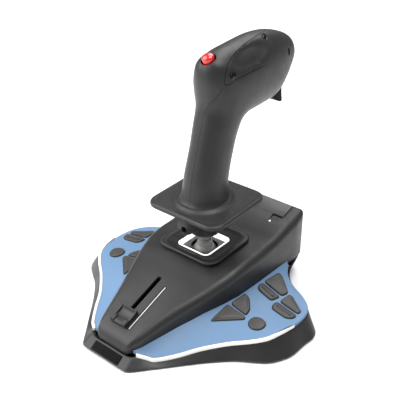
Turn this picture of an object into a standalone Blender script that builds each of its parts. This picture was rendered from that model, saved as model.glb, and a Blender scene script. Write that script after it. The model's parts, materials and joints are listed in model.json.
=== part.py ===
"""Airliner-style desktop flight joystick, as an assembly of separate pieces.

The script works in millimetres and stores metres. X points to the user's right, Y away from the user and
Z up. Y is counted from the front edge of the base and Z from the underside of its skirt, so `world` moves
them to the middle of the whole joystick's box and to the table under its feet.
"""

import math

import bmesh
import bpy
from mathutils import Vector

MM = 0.001
MIDDLE_Y = 126.84  # from the front edge to the middle of the whole joystick
FOOT = 1.5  # the skirt's height above the table
GAP = 0.3  # clearance between neighbouring pieces
WALL = 2.5  # moulded wall
PANEL = 2.5  # thickness of a wing panel
REAR_WALL = 6.0  # of the housing under the recess at its rear

PIVOT = Vector((0, 133, 37))  # where the pitch and roll axes cross
TILT_AXIS_X = (1, 0, 0)
TILT_AXIS_Y = (0, 1, 0)
GRIP_ORIGIN = Vector((0, 133, 97.5))  # on the line about which the grip twists

FINISHES = {  # colour, roughness, metallic
    "dark_plastic": ((0.075, 0.077, 0.080), 0.5, 0.0),
    "blue_plastic": ((0.21, 0.36, 0.58), 0.4, 0.0),
    "stripe_white": ((0.85, 0.84, 0.80), 0.35, 0.0),
    "button_plastic": ((0.065, 0.060, 0.056), 0.5, 0.0),
    "light_white": ((0.93, 0.93, 0.93), 0.3, 0.0),
    "dome_plastic": ((0.20, 0.20, 0.20), 0.4, 0.0),
    "red_gloss": ((0.60, 0.01, 0.02), 0.15, 0.0),
    "black_gloss": ((0.01, 0.01, 0.01), 0.15, 0.0),
    "black_rubber": ((0.02, 0.02, 0.02), 0.9, 0.0),
    "steel": ((0.45, 0.45, 0.46), 0.35, 1.0),
    "circuit_board": ((0.02, 0.16, 0.07), 0.5, 0.0),
}

# The rim of the base, right half, from the front's middle to the rear's: the skirt's foot (x, y), its top
# edge (x, y, z), and how far along the housing the wing panel's root lies there, if there is one.
RIM = (
    (0, 0, 0, 9.5, 6.5, None),
    (20, 0, 20, 9.5, 6.6, None),
    (27.5, 2, 26.5, 13.5, 7.2, 15.5),
    (40, 17, 32.5, 18.5, 4.4, 19),
    (47, 25.5, 39, 23.2, 2.6, 24),
    (58.5, 39.5, 51, 38, 4.2, 38),
    (70.5, 53.5, 62.3, 54, 7.0, 54),
    (85, 68, 78.1, 70, 10.7, 68),
    (97, 76.2, 92, 81, 13.4, 80),
    (108.5, 84.5, 102, 91.5, 15.2, 92),
    (115, 94, 106.3, 101.5, 16.2, 104),
    (119.5, 106, 108.6, 112.5, 15.9, 116),
    (120, 124, 109.8, 126, 15.0, 128),
    (120.7, 138.5, 108.8, 141, 14.6, 141),
    (114, 148, 104, 151.5, 15.0, 152),
    (97, 152, 94, 158.5, 17.0, 160),
    (79, 160.5, 81.6, 164.4, 19.0, 169),
    (66, 171, 68.5, 176, 19.4, 179),
    (57, 186, 60.5, 190, 19.0, 190),
    (48, 205, 55, 207, 18.0, None),
    (44.5, 216, 50.3, 219, 17.5, None),
    (38, 219, 43, 222, 17.5, None),
    (0, 219, 0, 222, 17.5, None),
)
RIM_STEPS = 2
FIRST_WING_ROW, LAST_WING_ROW, LAST_STRIPE_ROW = 2, 18, 11
STRIPE_WIDTH = 2.2
STRIPE_PROUD = 0.2

# The wing's height where it meets the housing: (y, z)
ROOT_HEIGHT = ((14, 10), (44, 15), (81, 22.3), (106, 24.6), (130, 25.2), (195, 24.6))

# The housing's sections: y, half width, height at the shoulder, height in the middle, shoulder radius, foot
SECTIONS = (
    (10.7, 13.5, 8.6, 8.8, 1.2, 7.0),
    (11.5, 17.0, 11.8, 12.2, 2.5, 7.0),
    (13.5, 19.6, 15.2, 15.6, 3.5, 7.6),
    (16.5, 21.2, 18.0, 18.3, 4.5, 8.0),
    (22, 24.0, 20.8, 20.8, 5.5, 3.0),
    (40, 29.4, 27.8, 27.6, 7.0, 3.0),
    (55, 34.2, 32.9, 33.3, 8.0, 3.0),
    (70, 39.9, 37.2, 39.0, 8.0, 3.0),
    (76, 42.0, 38.9, 41.2, 8.0, 3.0),
    (88, 46.1, 42.2, 45.4, 8.0, 3.0),
    (99, 49.7, 45.8, 49.4, 8.0, 3.0),
    (105, 51.2, 47.3, 50.9, 8.0, 3.0),
    (115, 53.2, 49.8, 51.5, 8.0, 3.0),
    (130, 54.2, 51.9, 52.0, 8.0, 3.0),
    (145, 54.5, 52.6, 52.5, 8.0, 3.0),
    (166, 54.5, 55.0, 53.3, 8.0, 3.0),
    (177, 54.5, 57.4, 56.0, 8.0, 3.0),
    (190, 54.5, 60.3, 60.0, 8.0, 18.7),
    (197, 54.3, 61.5, 61.4, 8.0, 18.7),
    (206, 53.8, 63.0, 63.0, 8.0, 18.7),
    (213, 52.6, 64.2, 64.2, 7.0, 18.7),
    (219, 51.2, 65.2, 65.2, 5.0, 18.7),
    (222, 49.6, 64.6, 64.8, 3.5, 18.7),
)
SLOPE = (41.2 - 20.8) / (76 - 22)  # rise of the housing's front, where the throttle runs

# The slider on the housing's front
THROTTLE_X = -3.1
THROTTLE_HALF = 8.7
THROTTLE_Y = (22.3, 38.8)  # the knob at rest
SLOT_HALF = 2.3
SLOT_Y = (27.5, 75.8)
SCALE_X = 8.6
SCALE_Y = (23, 70)

# Gimbal opening
BEZEL_Y = 133.2
NECK_HALF = 29.6
FRAME_PITCH = 0.035  # rise of the frame, the ring and the cover towards the rear
RING_Y = 131.8
RING_HALF = 18.2
RING_TOP = 53.2
RING_BAND = 1.4
COVER_TOP = 48.4
OPENING_Y = 132.6
OPENING_RADIUS = 12.5
DOME_RADIUS = 11.2
DOME_RISE = 4.5  # of the dome's middle over the pivot
SHAFT_RADIUS = 5.2
BEARING_RADIUS = 7.0
TOWER_HALF = 28.0
YOKE_HALF = 16.5
PIN_RADIUS = 2.0

# Palm rest at the grip's foot
PALM_Y = 135.2
PALM_HALF_X = 41.1
PALM_HALF_Y = 38.0
PALM_TOP = 97.5
PALM_PITCH = math.tan(math.radians(3))
COLLAR_TOP = 90.4

# The grip's sections in its middle plane: user's side (y, z), far side (y, z) and half width
GRIP = (
    (105.5, 92, 158, 93.5, 25.5),
    (108, 97.5, 155, 98.5, 23),
    (111.5, 104.5, 153.5, 106, 19.5),
    (114.5, 123, 156.5, 122.5, 18),
    (121.5, 147.5, 162.5, 143, 17.5),
    (126.5, 166.5, 167, 156, 18),
    (131, 183.5, 172, 164.5, 19),
    (129.5, 196.5, 179.5, 168, 20.5),
    (128, 210, 188, 168, 21.5),
    (132.5, 223.5, 196.5, 168, 22.5),
    (147, 229, 204, 168, 22),
    (169, 232, 212, 168.5, 21.5),
    (193, 234.6, 221, 169.5, 20.5),
    (215, 233.2, 228.5, 172.5, 18.5),
    (235, 228, 235.5, 179, 15.5),
    (248, 221, 243, 188.5, 12),
    (253.8, 211, 252, 197.5, 8),
)
GRIP_POINTS = 18
GRIP_SQUARE = 2.25  # exponent of the section's curve, where 2 is an ellipse
GRIP_WALL = 3.0

# Thumb cover on the head's right side: its outline as seen along the direction it faces
THUMB_TILT = math.radians(32)
THUMB_OUTLINE = (
    (137.5, 166.5), (138, 171), (140.5, 176.5), (148, 183), (162, 188.5), (178, 192), (195, 194.5), (203, 195),
    (207.5, 192.5), (207, 187), (202, 179.5), (196, 173), (189.5, 168.8), (175, 167.5), (160, 167), (147, 166.3),
    (141, 164.8),
)
THUMB_REACH = (112, 150)  # of the outline's prism, along the direction that it faces
THUMB_INSET = 1.4
COVER_SCREWS = (((18.3, 145.2, 212.8), (0.86, -0.32, 0.40)), ((9, 201, 231.3), (0.45, 0, 0.89)))
RED_BUTTON = Vector((0, 136.4, 224.9))
RED_AXIS = Vector((0, -0.34, 0.94)).normalized()
RED_RADIUS = 5.3
TRIGGER_PIVOT = Vector((0, 231, 181))
TRIGGER_HALF = 5.0
NOSE_HOLE = (14, 231.3, 211.7)

# Buttons on the right wing: corners (x, y) and how round they are; the round one is made by a circle
WING_BUTTONS = {
    "front_inner": (((52.5, 77.5), (74.5, 97.5), (72, 100.3), (53, 101)), 3.0),
    "rear_inner": (((54.5, 103.5), (72.5, 102), (70.5, 110), (60.5, 121.8), (56, 121.8)), 2.5),
    "lower_inner": (((60.2, 135.8), (76.5, 133.5), (79, 143.6), (59, 146.0), (57.3, 141.5)), 2.5),
    "upper_inner": (((58, 148.6), (79.5, 146.2), (81, 153.5), (64, 168.3), (60, 168.3)), 2.5),
    "lower_outer": (((83, 125.3), (99, 123.5), (103.8, 127.5), (103.6, 133.2), (81.5, 136.0), (80.4, 131.0)), 2.5),
    "upper_outer": (((82.4, 138.6), (103.6, 135.8), (103.6, 140.5), (87, 152.2), (83, 152.2)), 2.5),
}
ROUND_BUTTON = ((85.2, 100.3), 7.2)
BUTTON_PROUD = 1.6
BUTTON_TRAVEL = 1.2
BUTTON_FLANGE = 0.7
BOARD_HEIGHT = 8.0


def world(point):
    return Vector((point[0], point[1] - MIDDLE_Y, point[2] + FOOT)) * MM


# ---------------------------------------------------------------- shared building blocks


def clear_scene():
    for obj in list(bpy.data.objects):
        bpy.data.objects.remove(obj, do_unlink=True)


def material(finish):
    found = bpy.data.materials.get(finish)
    if found:
        return found
    colour, roughness, metallic = FINISHES[finish]
    made = bpy.data.materials.new(finish)
    made.use_nodes = True
    made.diffuse_color = (*colour, 1)
    shader = made.node_tree.nodes["Principled BSDF"]
    shader.inputs["Base Color"].default_value = (*colour, 1)
    shader.inputs["Roughness"].default_value = roughness
    shader.inputs["Metallic"].default_value = metallic
    return made


def solid(name, finish, points, faces, origin):
    """A closed mesh in millimetres, with its object's origin at the given point."""
    centre = world(origin)
    mesh = bpy.data.meshes.new(name)
    mesh.from_pydata([world(point) - centre for point in points], [], faces)
    shape = bmesh.new()
    shape.from_mesh(mesh)
    bmesh.ops.remove_doubles(shape, verts=shape.verts, dist=1e-7)
    bmesh.ops.triangulate(shape, faces=shape.faces)
    bmesh.ops.recalc_face_normals(shape, faces=shape.faces)
    shape.to_mesh(mesh)
    shape.free()
    mesh.shade_smooth()
    mesh.set_sharp_from_angle(angle=math.radians(35))
    mesh.materials.append(material(finish))
    obj = bpy.data.objects.new(name, mesh)
    obj.location = centre
    bpy.context.collection.objects.link(obj)
    return obj


def loft(name, finish, loops, origin=(0, 0, 0), ring=False):
    """Joins loops of the same number of points; `ring` joins the last to the first in place of end caps."""
    count = len(loops[0])
    rows = len(loops)
    points = [point for loop in loops for point in loop]
    faces = []
    for row in range(rows if ring else rows - 1):
        low = row * count
        high = (row + 1) % rows * count
        for i in range(count):
            j = (i + 1) % count
            faces.append((low + i, low + j, high + j, high + i))
    if not ring:
        faces.append(tuple(range(count)))
        faces.append(tuple(range((rows - 1) * count, rows * count)))
    return solid(name, finish, points, faces, origin)


def prism(name, finish, outline, bottom, top, origin=(0, 0, 0)):
    loops = [[(x, y, z) for x, y in outline] for z in (bottom, top)]
    return loft(name, finish, loops, origin)


def side_prism(name, finish, outline, left, right, origin=(0, 0, 0)):
    """A prism along X of an outline in the YZ plane."""
    loops = [[(x, y, z) for y, z in outline] for x in (left, right)]
    return loft(name, finish, loops, origin)


def turned(name, finish, profile, base, axis=(0, 0, 1), sides=16, ring=False, origin=None):
    """A solid of revolution: profile points are (radius, distance from base along the axis)."""
    turn = Vector((0, 0, 1)).rotation_difference(Vector(axis)).to_matrix()
    loops = []
    for radius, height in profile:
        loops.append([
            Vector(base) + turn @ Vector((
                radius * math.cos(math.tau * i / sides),
                radius * math.sin(math.tau * i / sides),
                height,
            ))
            for i in range(sides)
        ])
    return loft(name, finish, loops, origin or base, ring)


def coil(name, finish, centre, axis, radius, wire, turns, length, origin):
    """A round wire wound as a helix about an axis through its centre."""
    turn = Vector((0, 0, 1)).rotation_difference(Vector(axis)).to_matrix()
    steps = int(turns * 10)
    rise = math.atan2(length, math.tau * radius * turns)
    loops = []
    for step in range(steps + 1):
        angle = math.tau * turns * step / steps
        out = Vector((math.cos(angle), math.sin(angle), 0))
        along = Vector((-math.sin(angle), math.cos(angle), 0)) * math.cos(rise) + Vector((0, 0, math.sin(rise)))
        up = along.cross(out)
        middle = out * radius + Vector((0, 0, length * (step / steps - 0.5)))
        loops.append([
            Vector(centre) + turn @ (middle + (out * math.cos(a) + up * math.sin(a)) * wire)
            for a in (math.tau * k / 5 for k in range(5))
        ])
    return loft(name, finish, loops, origin)


def boolean(target, other, operation="DIFFERENCE"):
    other.hide_render = True
    other.display_type = "WIRE"
    modifier = target.modifiers.new(other.name, "BOOLEAN")
    modifier.operation = operation
    modifier.solver = "EXACT"
    modifier.object = other


def between(table, at, column=1):
    """Reads a column of a table whose first column rises, by straight lines between its rows."""
    for before, after in zip(table, table[1:]):
        if at <= after[0]:
            share = max(0.0, (at - before[0]) / (after[0] - before[0]))
            return before[column] + share * (after[column] - before[column])
    return table[-1][column]


def smooth(rows, steps):
    """A Catmull-Rom curve through the rows, of any number of columns."""
    curve = []
    for i in range(len(rows) - 1):
        a, b, c, d = (rows[min(max(k, 0), len(rows) - 1)] for k in (i - 1, i, i + 1, i + 2))
        for step in range(steps):
            t = step / steps
            curve.append(tuple(
                0.5 * (2 * q + (r - p) * t + (2 * p - 5 * q + 4 * r - s) * t**2 + (3 * q - p - 3 * r + s) * t**3)
                for p, q, r, s in zip(a, b, c, d)
            ))
    curve.append(tuple(float(value) for value in rows[-1]))
    return curve


def rounded(corners, radius, steps=2):
    """A polygon with its corners eased over the given distance from each."""
    outline = []
    for i, corner in enumerate(corners):
        here = Vector(corner)
        before = Vector(corners[i - 1]) - here
        after = Vector(corners[(i + 1) % len(corners)]) - here
        start = here + before.normalized() * min(radius, before.length * 0.45)
        end = here + after.normalized() * min(radius, after.length * 0.45)
        for step in range(steps + 1):
            t = step / steps
            outline.append(tuple(start * (1 - t) ** 2 + here * 2 * t * (1 - t) + end * t**2))
    return outline


def grown(outline, distance):
    """A closed outline moved outwards by a distance, or inwards by a negative one."""
    count = len(outline)
    area = sum(
        outline[i][0] * outline[(i + 1) % count][1] - outline[(i + 1) % count][0] * outline[i][1]
        for i in range(count)
    )
    side = 1 if area > 0 else -1
    moved = []
    for i in range(count):
        before = (Vector(outline[i]) - Vector(outline[i - 1])).normalized()
        after = (Vector(outline[(i + 1) % count]) - Vector(outline[i])).normalized()
        normal = Vector((before.y + after.y, -before.x - after.x)).normalized() * side
        lean = max(0.5, normal.dot(Vector((after.y, -after.x)) * side))
        moved.append(tuple(Vector(outline[i]) + normal * distance / lean))
    return moved


def square(half_x, half_y, corner, centre_y, z, pitch=0.0, steps=4):
    """A level or pitched loop: a rectangle with round corners."""
    loop = []
    for quarter in range(4):
        sign_x = 1 if quarter in (0, 3) else -1
        sign_y = 1 if quarter in (0, 1) else -1
        for step in range(steps + 1):
            angle = math.pi / 2 * (quarter + step / steps)
            x = sign_x * (half_x - corner) + corner * math.cos(angle)
            y = sign_y * (half_y - corner) + corner * math.sin(angle)
            loop.append((x, centre_y + y, z + y * pitch))
    return loop


def mirrored(points):
    return [(-point[0], *point[1:]) for point in points]


# ---------------------------------------------------------------- base


def rim_curve():
    """The rim's rows, eased: foot x, foot y, top x, top y, top z."""
    return smooth([row[:5] for row in RIM], RIM_STEPS)


def whole_loop(half):
    """Closes a right half that starts and ends in the middle plane."""
    return list(half) + mirrored(list(half)[-2:0:-1])


def rim_loop(kind, inset=0.0, drop=0.0):
    """The skirt's foot or top loop, moved inwards and down."""
    rows = rim_curve()
    if kind == "foot":
        flat = grown([row[:2] for row in whole_loop([(r[0], r[1]) for r in rows])], -inset)
        return [(x, y, drop) for x, y in flat]
    flat = grown(whole_loop([(r[2], r[3]) for r in rows]), -inset)
    heights = whole_loop([(0, r[4]) for r in rows])
    return [(x, y, height[1] - drop) for (x, y), height in zip(flat, heights)]


def make_skirt():
    loops = (
        rim_loop("foot"),
        rim_loop("top"),
        rim_loop("top", WALL, 1.0),
        rim_loop("foot", WALL),
    )
    return loft("base_skirt", "dark_plastic", loops, ring=True)


def plate_outline(height):
    """The outline that clears the skirt's inside up to a height."""
    half = []
    for foot_x, foot_y, top_x, top_y, top_z in rim_curve():
        share = min(1.0, height / top_z)
        half.append((foot_x + (top_x - foot_x) * share, foot_y + (top_y - foot_y) * share))
    return grown(whole_loop(half), -WALL - GAP - 0.7)


FEET = {"front_left": (-32, 34), "front_right": (32, 34), "rear_left": (-92, 132), "rear_right": (92, 132)}
BASE_SCREWS = ((-62, 66), (62, 66), (-40, 196), (40, 196))


def make_bottom():
    plate = prism("bottom_plate", "steel", plate_outline(1.4), 0, 1.2)
    for i, (x, y) in enumerate(BASE_SCREWS):
        hole = turned(f"screw_hole_{i}", "steel", ((3.4, -1), (3.4, 3)), (x, y, 0), sides=12)
        boolean(plate, hole)
        turned(
            f"base_screw_{i + 1}", "steel", ((3.0, 0.1), (3.0, 1.4), (1.5, 1.8), (1.3, 9.0)), (x, y, 0), sides=10
        )
    for place, (x, y) in FEET.items():
        turned(f"foot_{place}", "black_rubber", ((9, -FOOT), (9.5, -1.1), (9.5, -GAP)), (x, y, 0), sides=16)


def housing_half(y):
    return between(SECTIONS, y, 1)


def top_height(x, y):
    """Height of the housing's top, which runs straight from its middle to its shoulders."""
    shoulder = housing_half(y) - between(SECTIONS, y, 4)
    share = min(1.0, abs(x) / shoulder)
    middle = between(SECTIONS, y, 3)
    return middle + (between(SECTIONS, y, 2) - middle) * share**2


def housing_section(row, wall=0.0, foot=None):
    y, half, shoulder, middle, radius, bottom = row
    half -= wall
    radius = max(0.8, radius - wall)
    bottom = bottom if foot is None else foot
    right = [(half, y, bottom), (half, y, shoulder - wall - radius)]
    for angle in (30, 60, 90):
        turn = math.radians(angle)
        out = half - radius * (1 - math.cos(turn))
        right.append((out, y, shoulder - wall - radius * (1 - math.sin(turn))))
    for share in (0.66, 0.33):
        crown = middle + (shoulder - middle) * share**2
        right.append(((half - radius) * share, y, crown - wall))
    return right + [(0, y, middle - wall)] + mirrored(right[::-1])


def moved_row(row, y):
    return (y, *row[1:])


def make_housing():
    housing = loft("center_housing", "dark_plastic", [housing_section(row) for row in SECTIONS])
    inside = [housing_section(moved_row(SECTIONS[3], 15.5), WALL, -5)]
    inside += [housing_section(row, WALL if row[0] < 192 else REAR_WALL, -5) for row in SECTIONS[4:-2]]
    inside.append(housing_section(moved_row(SECTIONS[-2], 219.4), REAR_WALL, -5))
    boolean(housing, loft("housing_inside", "dark_plastic", inside))
    hole = [square(NECK_HALF + 0.4, NECK_HALF + 0.4, 10.4, BEZEL_Y, z) for z in (34, 74)]
    boolean(housing, loft("bezel_hole", "dark_plastic", hole))
    slot = rounded(
        [(THROTTLE_X + sx * SLOT_HALF, SLOT_Y[k]) for sx, k in ((-1, 0), (1, 0), (1, 1), (-1, 1))], SLOT_HALF
    )
    boolean(housing, prism("throttle_slot", "dark_plastic", slot, 5, 60))
    boolean(housing, strip("scale_groove", "dark_plastic", SCALE_X, 1.5, SCALE_Y, -1.2, 2))
    floor = top_height(0, 201.5) - 3.4
    wedge = [(201.5, floor - 1), (201.5, 75), (225, 75), (225, 66.2), (204, floor + 0.5), (204, floor - 1)]
    boolean(housing, side_prism("rear_recess", "dark_plastic", wedge, -41.5, 41.5))
    boolean(housing, turned("led_hole", "dark_plastic", ((1.2, -4), (1.2, 4)), led_place(), sides=10))
    socket = [(-5.2, 37.6), (5.2, 37.6), (5.2, 42.4), (-5.2, 42.4)]
    opening = [[(x, y, z) for x, z in socket] for y in (215, 230)]
    boolean(housing, loft("socket_opening", "dark_plastic", opening))
    return housing


def led_place():
    return Vector((32, 190.8, top_height(32, 190.8)))


def strip(name, finish, x, half, span, low, high, steps=8):
    """A strip that follows the housing's top along Y, between two heights above it."""
    loops = []
    for step in range(steps + 1):
        y = span[0] + (span[1] - span[0]) * step / steps
        base = top_height(x, y)
        loops.append([
            (x - half, y, base + low), (x + half, y, base + low), (x + half, y, base + high), (x - half, y, base + high)
        ])
    return loft(name, finish, loops)


def make_labels():
    """Blank plates where the maker's and the model's names would be, the scale beside the slider and the lamp."""
    lie = math.atan2(6.5, 9.5)
    along = Vector((0, math.cos(lie), math.sin(lie)))
    up = Vector((0, -math.sin(lie), math.cos(lie)))
    start = Vector((0, 0, 0)) + along * 1.6 + up * GAP
    loops = []
    for x in (-16, 16):
        loops.append([
            start + Vector((x, 0, 0)) + along * s + up * h for s, h in ((0, 0), (8.6, 0), (8.6, 0.6), (0, 0.6))
        ])
    loft("front_nameplate", "black_gloss", loops)
    low = top_height(0, 201.5) - 3.4
    rise = (66.2 - low) / (225 - 201.5)
    plate = [(204.2, low + 2.7 * rise + GAP), (220.4, low + 18.9 * rise + GAP)]
    plate += [(y, z + 0.6) for y, z in reversed(plate)]
    side_prism("rear_nameplate", "black_gloss", plate, -38, 38)
    strip("throttle_scale", "light_white", SCALE_X - 0.2, 0.55, (SCALE_Y[0] + 1, SCALE_Y[1] - 0.5), -0.8, -0.05)
    turned("status_led", "light_white", ((0.85, -2.6), (0.85, 0.1), (0.5, 0.4)), led_place(), sides=8)


def make_throttle():
    """The knob and its carriage, which run along the housing's sloping front."""
    lie = math.atan(SLOPE)
    along = Vector((0, math.cos(lie), math.sin(lie)))
    up = Vector((0, -math.sin(lie), math.cos(lie)))
    start = Vector((THROTTLE_X, THROTTLE_Y[0], top_height(0, THROTTLE_Y[0])))
    length = (THROTTLE_Y[1] - THROTTLE_Y[0]) / math.cos(lie)
    profile = (
        (0, 0.7), (0, 3.0), (1.2, 4.0), (3.2, 4.0), (5.5, 2.9), (10, 2.4), (length - 4, 2.9),
        (length - 1.8, 4.6), (length - 0.6, 4.6), (length, 3.4), (length, 0.7),
    )
    loops = []
    for x in (-THROTTLE_HALF, THROTTLE_HALF):
        loops.append([start + Vector((x, 0, 0)) + along * s + up * h for s, h in profile])
    loft("throttle_knob", "button_plastic", loops, start)
    neck = SLOT_HALF - 0.4
    first, last = 6.8, 13.6
    loops = []
    for half, h in ((neck, 0.35), (neck, -3.6), (6.5, -3.6), (6.5, -8)):
        loops.append([
            start + Vector((x, 0, 0)) + along * s + up * h
            for x, s in ((-half, first), (half, first), (half, last), (-half, last))
        ])
    loft("throttle_carriage", "dark_plastic", loops, start)


# ---------------------------------------------------------------- wings


def wing_rows():
    """Rows across the right wing: the outline's point at its edge and the root beside the housing."""
    return smooth([row[2:6] for row in RIM[FIRST_WING_ROW:LAST_WING_ROW + 1]], RIM_STEPS)


def edge_inset(share):
    """How far in from the rim the wing ends: behind the stripe, close to the edge, then behind the skirt."""
    stripe_end = (LAST_STRIPE_ROW - FIRST_WING_ROW + 0.5) / (LAST_WING_ROW - FIRST_WING_ROW)
    table = ((0, 2.5), (stripe_end - 0.05, 2.5), (stripe_end + 0.01, 0.3), (0.8, 0.3), (1, 3.2))
    return between(table, share)


def inward(rows, i):
    """The direction into the base at a rim row."""
    before = rows[max(i - 1, 0)]
    after = rows[min(i + 1, len(rows) - 1)]
    along = Vector((after[0] - before[0], after[1] - before[1])).normalized()
    return Vector((-along.y, along.x))


def wing_grid(sink=0.0):
    """The wing's top surface as rows of points from the rim to the root."""
    rows = wing_rows()
    grid = []
    for i, (x, y, z, root_y) in enumerate(rows):
        edge = Vector((x, y)) + inward(rows, i) * edge_inset(i / (len(rows) - 1))
        root = Vector((housing_half(root_y) + 0.45, root_y))
        root_z = between(ROOT_HEIGHT, root_y)
        line = []
        for share in (0, 0.25, 0.5, 0.75, 1):
            spot = edge.lerp(root, share)
            height = z + GAP + PANEL + (root_z - z - GAP - PANEL) * share**2
            line.append((spot.x, spot.y, height - sink))
        grid.append(line)
    return grid


def wing_height(x, y):
    """The height of the wing's top at a place, from the nearest points of its grid."""
    near = sorted((math.hypot(p[0] - x, p[1] - y), p[2]) for line in wing_grid() for p in line)[:4]
    weight = sum(1 / (distance + 0.1) for distance, _ in near)
    return sum(height / (distance + 0.1) for distance, height in near) / weight


def grid_solid(name, finish, top, bottom):
    rows, columns = len(top), len(top[0])
    points = [p for line in top for p in line] + [p for line in bottom for p in line]
    below = rows * columns
    faces = []
    for i in range(rows - 1):
        for j in range(columns - 1):
            a = i * columns + j
            faces.append((a, a + 1, a + columns + 1, a + columns))
            faces.append((below + a, below + a + columns, below + a + columns + 1, below + a + 1))
    border = [j for j in range(columns)] + [i * columns + columns - 1 for i in range(1, rows)]
    border += [(rows - 1) * columns + j for j in range(columns - 2, -1, -1)]
    border += [i * columns for i in range(rows - 2, 0, -1)]
    for a, b in zip(border, border[1:] + border[:1]):
        faces.append((a, b, below + b, below + a))
    return solid(name, finish, points, faces, (0, 0, 0))


def button_outlines():
    outlines = {name: rounded(corners, radius) for name, (corners, radius) in WING_BUTTONS.items()}
    (x, y), radius = ROUND_BUTTON
    outlines["round"] = [
        (x + radius * math.cos(math.tau * i / 20), y + radius * math.sin(math.tau * i / 20)) for i in range(20)
    ]
    return outlines


def make_button(name, outline, flip):
    """A cap that follows the wing's surface, on a stem with a flange that holds it under the panel."""
    centre = (sum(x for x, _ in outline) / len(outline), sum(y for _, y in outline) / len(outline))
    heights = [wing_height(x, y) for x, y in outline]
    stop = min(heights) - PANEL - 0.5
    crown = grown(outline, -0.8)
    loops = [
        [(x, y, stop - 1.3) for x, y in grown(outline, BUTTON_FLANGE)],
        [(x, y, stop) for x, y in grown(outline, BUTTON_FLANGE)],
        [(x, y, stop) for x, y in outline],
        [(x, y, h + BUTTON_PROUD - 0.6) for (x, y), h in zip(outline, heights)],
        [(x, y, h + BUTTON_PROUD) for (x, y), h in zip(crown, heights)],
    ]
    origin = (*centre, stop)
    if flip:
        loops = [mirrored(loop) for loop in loops]
        origin = (-centre[0], centre[1], stop)
    loft(name, "button_plastic", loops, origin)
    return stop - 1.3


def make_wing(side, flip):
    turn = mirrored if flip else list
    top = [turn(line) for line in wing_grid()]
    bottom = [turn(line) for line in wing_grid(PANEL)]
    panel = grid_solid(f"wing_panel_{side}", "blue_plastic", top, bottom)
    posts = []
    for place, outline in button_outlines().items():
        under = make_button(f"button_{side}_{place}", outline, flip)
        hole = turn(grown(outline, 0.45))
        boolean(panel, prism(f"hole_{side}_{place}", "blue_plastic", hole, 8, 40))
        middle = (sum(x for x, _ in outline) / len(outline), sum(y for _, y in outline) / len(outline))
        posts.append((middle, under - BUTTON_TRAVEL - 0.3))
    board_outline = turn(rounded([(56, 80), (76, 92), (94, 96), (108, 122), (106, 140), (62, 166), (57, 166)], 4))
    board = prism(f"button_board_{side}", "circuit_board", board_outline, BOARD_HEIGHT, BOARD_HEIGHT + 1.6)
    for i, ((x, y), height) in enumerate(posts):
        outline = turn([(x - 3, y - 3), (x + 3, y - 3), (x + 3, y + 3), (x - 3, y + 3)])
        post = prism(f"switch_{side}_{i}", "black_gloss", outline, BOARD_HEIGHT + 0.5, height)
        boolean(board, post, "UNION")
    stripe = []
    rows = wing_rows()
    last = (LAST_STRIPE_ROW - FIRST_WING_ROW) * RIM_STEPS + 1
    for i in range(last):
        x, y, z = rows[i][:3]
        width = STRIPE_WIDTH * min(1.0, (last - i) / 4 + 0.1)
        inner = Vector((x, y)) + inward(rows, i) * width
        low, high = z + GAP, z + GAP + PANEL + STRIPE_PROUD
        stripe.append(turn([(x, y, low), (inner.x, inner.y, low), (inner.x, inner.y, high), (x, y, high)]))
    loft(f"wing_stripe_{side}", "stripe_white", stripe)


# ---------------------------------------------------------------- gimbal


def frame_loop(half_x, half_y, corner, centre_y, z):
    """A rounded loop in the frame's pitched plane, whose height is given at the frame's middle."""
    return square(half_x, half_y, corner, centre_y, z + (centre_y - BEZEL_Y) * FRAME_PITCH, FRAME_PITCH)


def make_bezel():
    """The raised frame round the opening, the light ring in it and the cover plate with the round opening."""
    y = BEZEL_Y
    loft("gimbal_bezel", "dark_plastic", [frame_loop(*row) for row in (
        (NECK_HALF, NECK_HALF, 10, y, 42), (NECK_HALF, NECK_HALF, 10, y, 53.6), (32.9, 31.1, 12, y, 53.6),
        (33.3, 31.5, 12, y, 54.2), (33.0, 31.2, 11.9, y, 55.2), (31.8, 30.0, 11.2, y, 55.7),
        (29.2, 27.6, 10, y, 55.7), (27.0, 25.6, 8.9, 133.1, 55.1), (23, 22.4, 7.4, 132.5, 54.0),
        (19.2, 19.2, 5.9, RING_Y, 53.2), (18.6, 18.6, 5.6, RING_Y, 52.8), (18.6, 18.6, 5.6, RING_Y, 47),
        (24, 24, 8, 132.5, 46), (26.3, 26.3, 8, y, 42),
    )], ring=True)
    ring = []
    for inset, z in (
        (0, 46), (0, RING_TOP - 0.4), (0.4, RING_TOP), (RING_BAND - 0.4, RING_TOP), (RING_BAND, RING_TOP - 0.4),
        (RING_BAND, 46),
    ):
        ring.append(frame_loop(RING_HALF - inset, RING_HALF - inset, 5.2 - inset, RING_Y, z))
    loft("light_ring", "light_white", ring, ring=True)
    half = RING_HALF - RING_BAND - GAP
    cover = loft(
        "pivot_cover", "dark_plastic", [frame_loop(half, half, 3.5, RING_Y, z) for z in (COVER_TOP - 1.5, COVER_TOP)]
    )
    hole = turned(
        "cover_opening", "dark_plastic", ((OPENING_RADIUS, -6), (OPENING_RADIUS, 4)), (0, OPENING_Y, COVER_TOP),
        sides=28,
    )
    boolean(cover, hole)


def make_tower():
    """The fixed frame that carries the gimbal, with the bores of the pitch axis."""
    loops = [
        square(half, half, 4, PIVOT.y, z, steps=2)
        for half, z in (
            (TOWER_HALF, 1.6), (TOWER_HALF, 40.6), (TOWER_HALF - 4, 40.6), (TOWER_HALF - 4, 1.6),
        )
    ]
    tower = loft("gimbal_tower", "dark_plastic", loops, ring=True)
    bore = turned(
        "pitch_bore", "steel", ((PIN_RADIUS + GAP, -40), (PIN_RADIUS + GAP, 40)), PIVOT, TILT_AXIS_X, 12
    )
    boolean(tower, bore)


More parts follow.
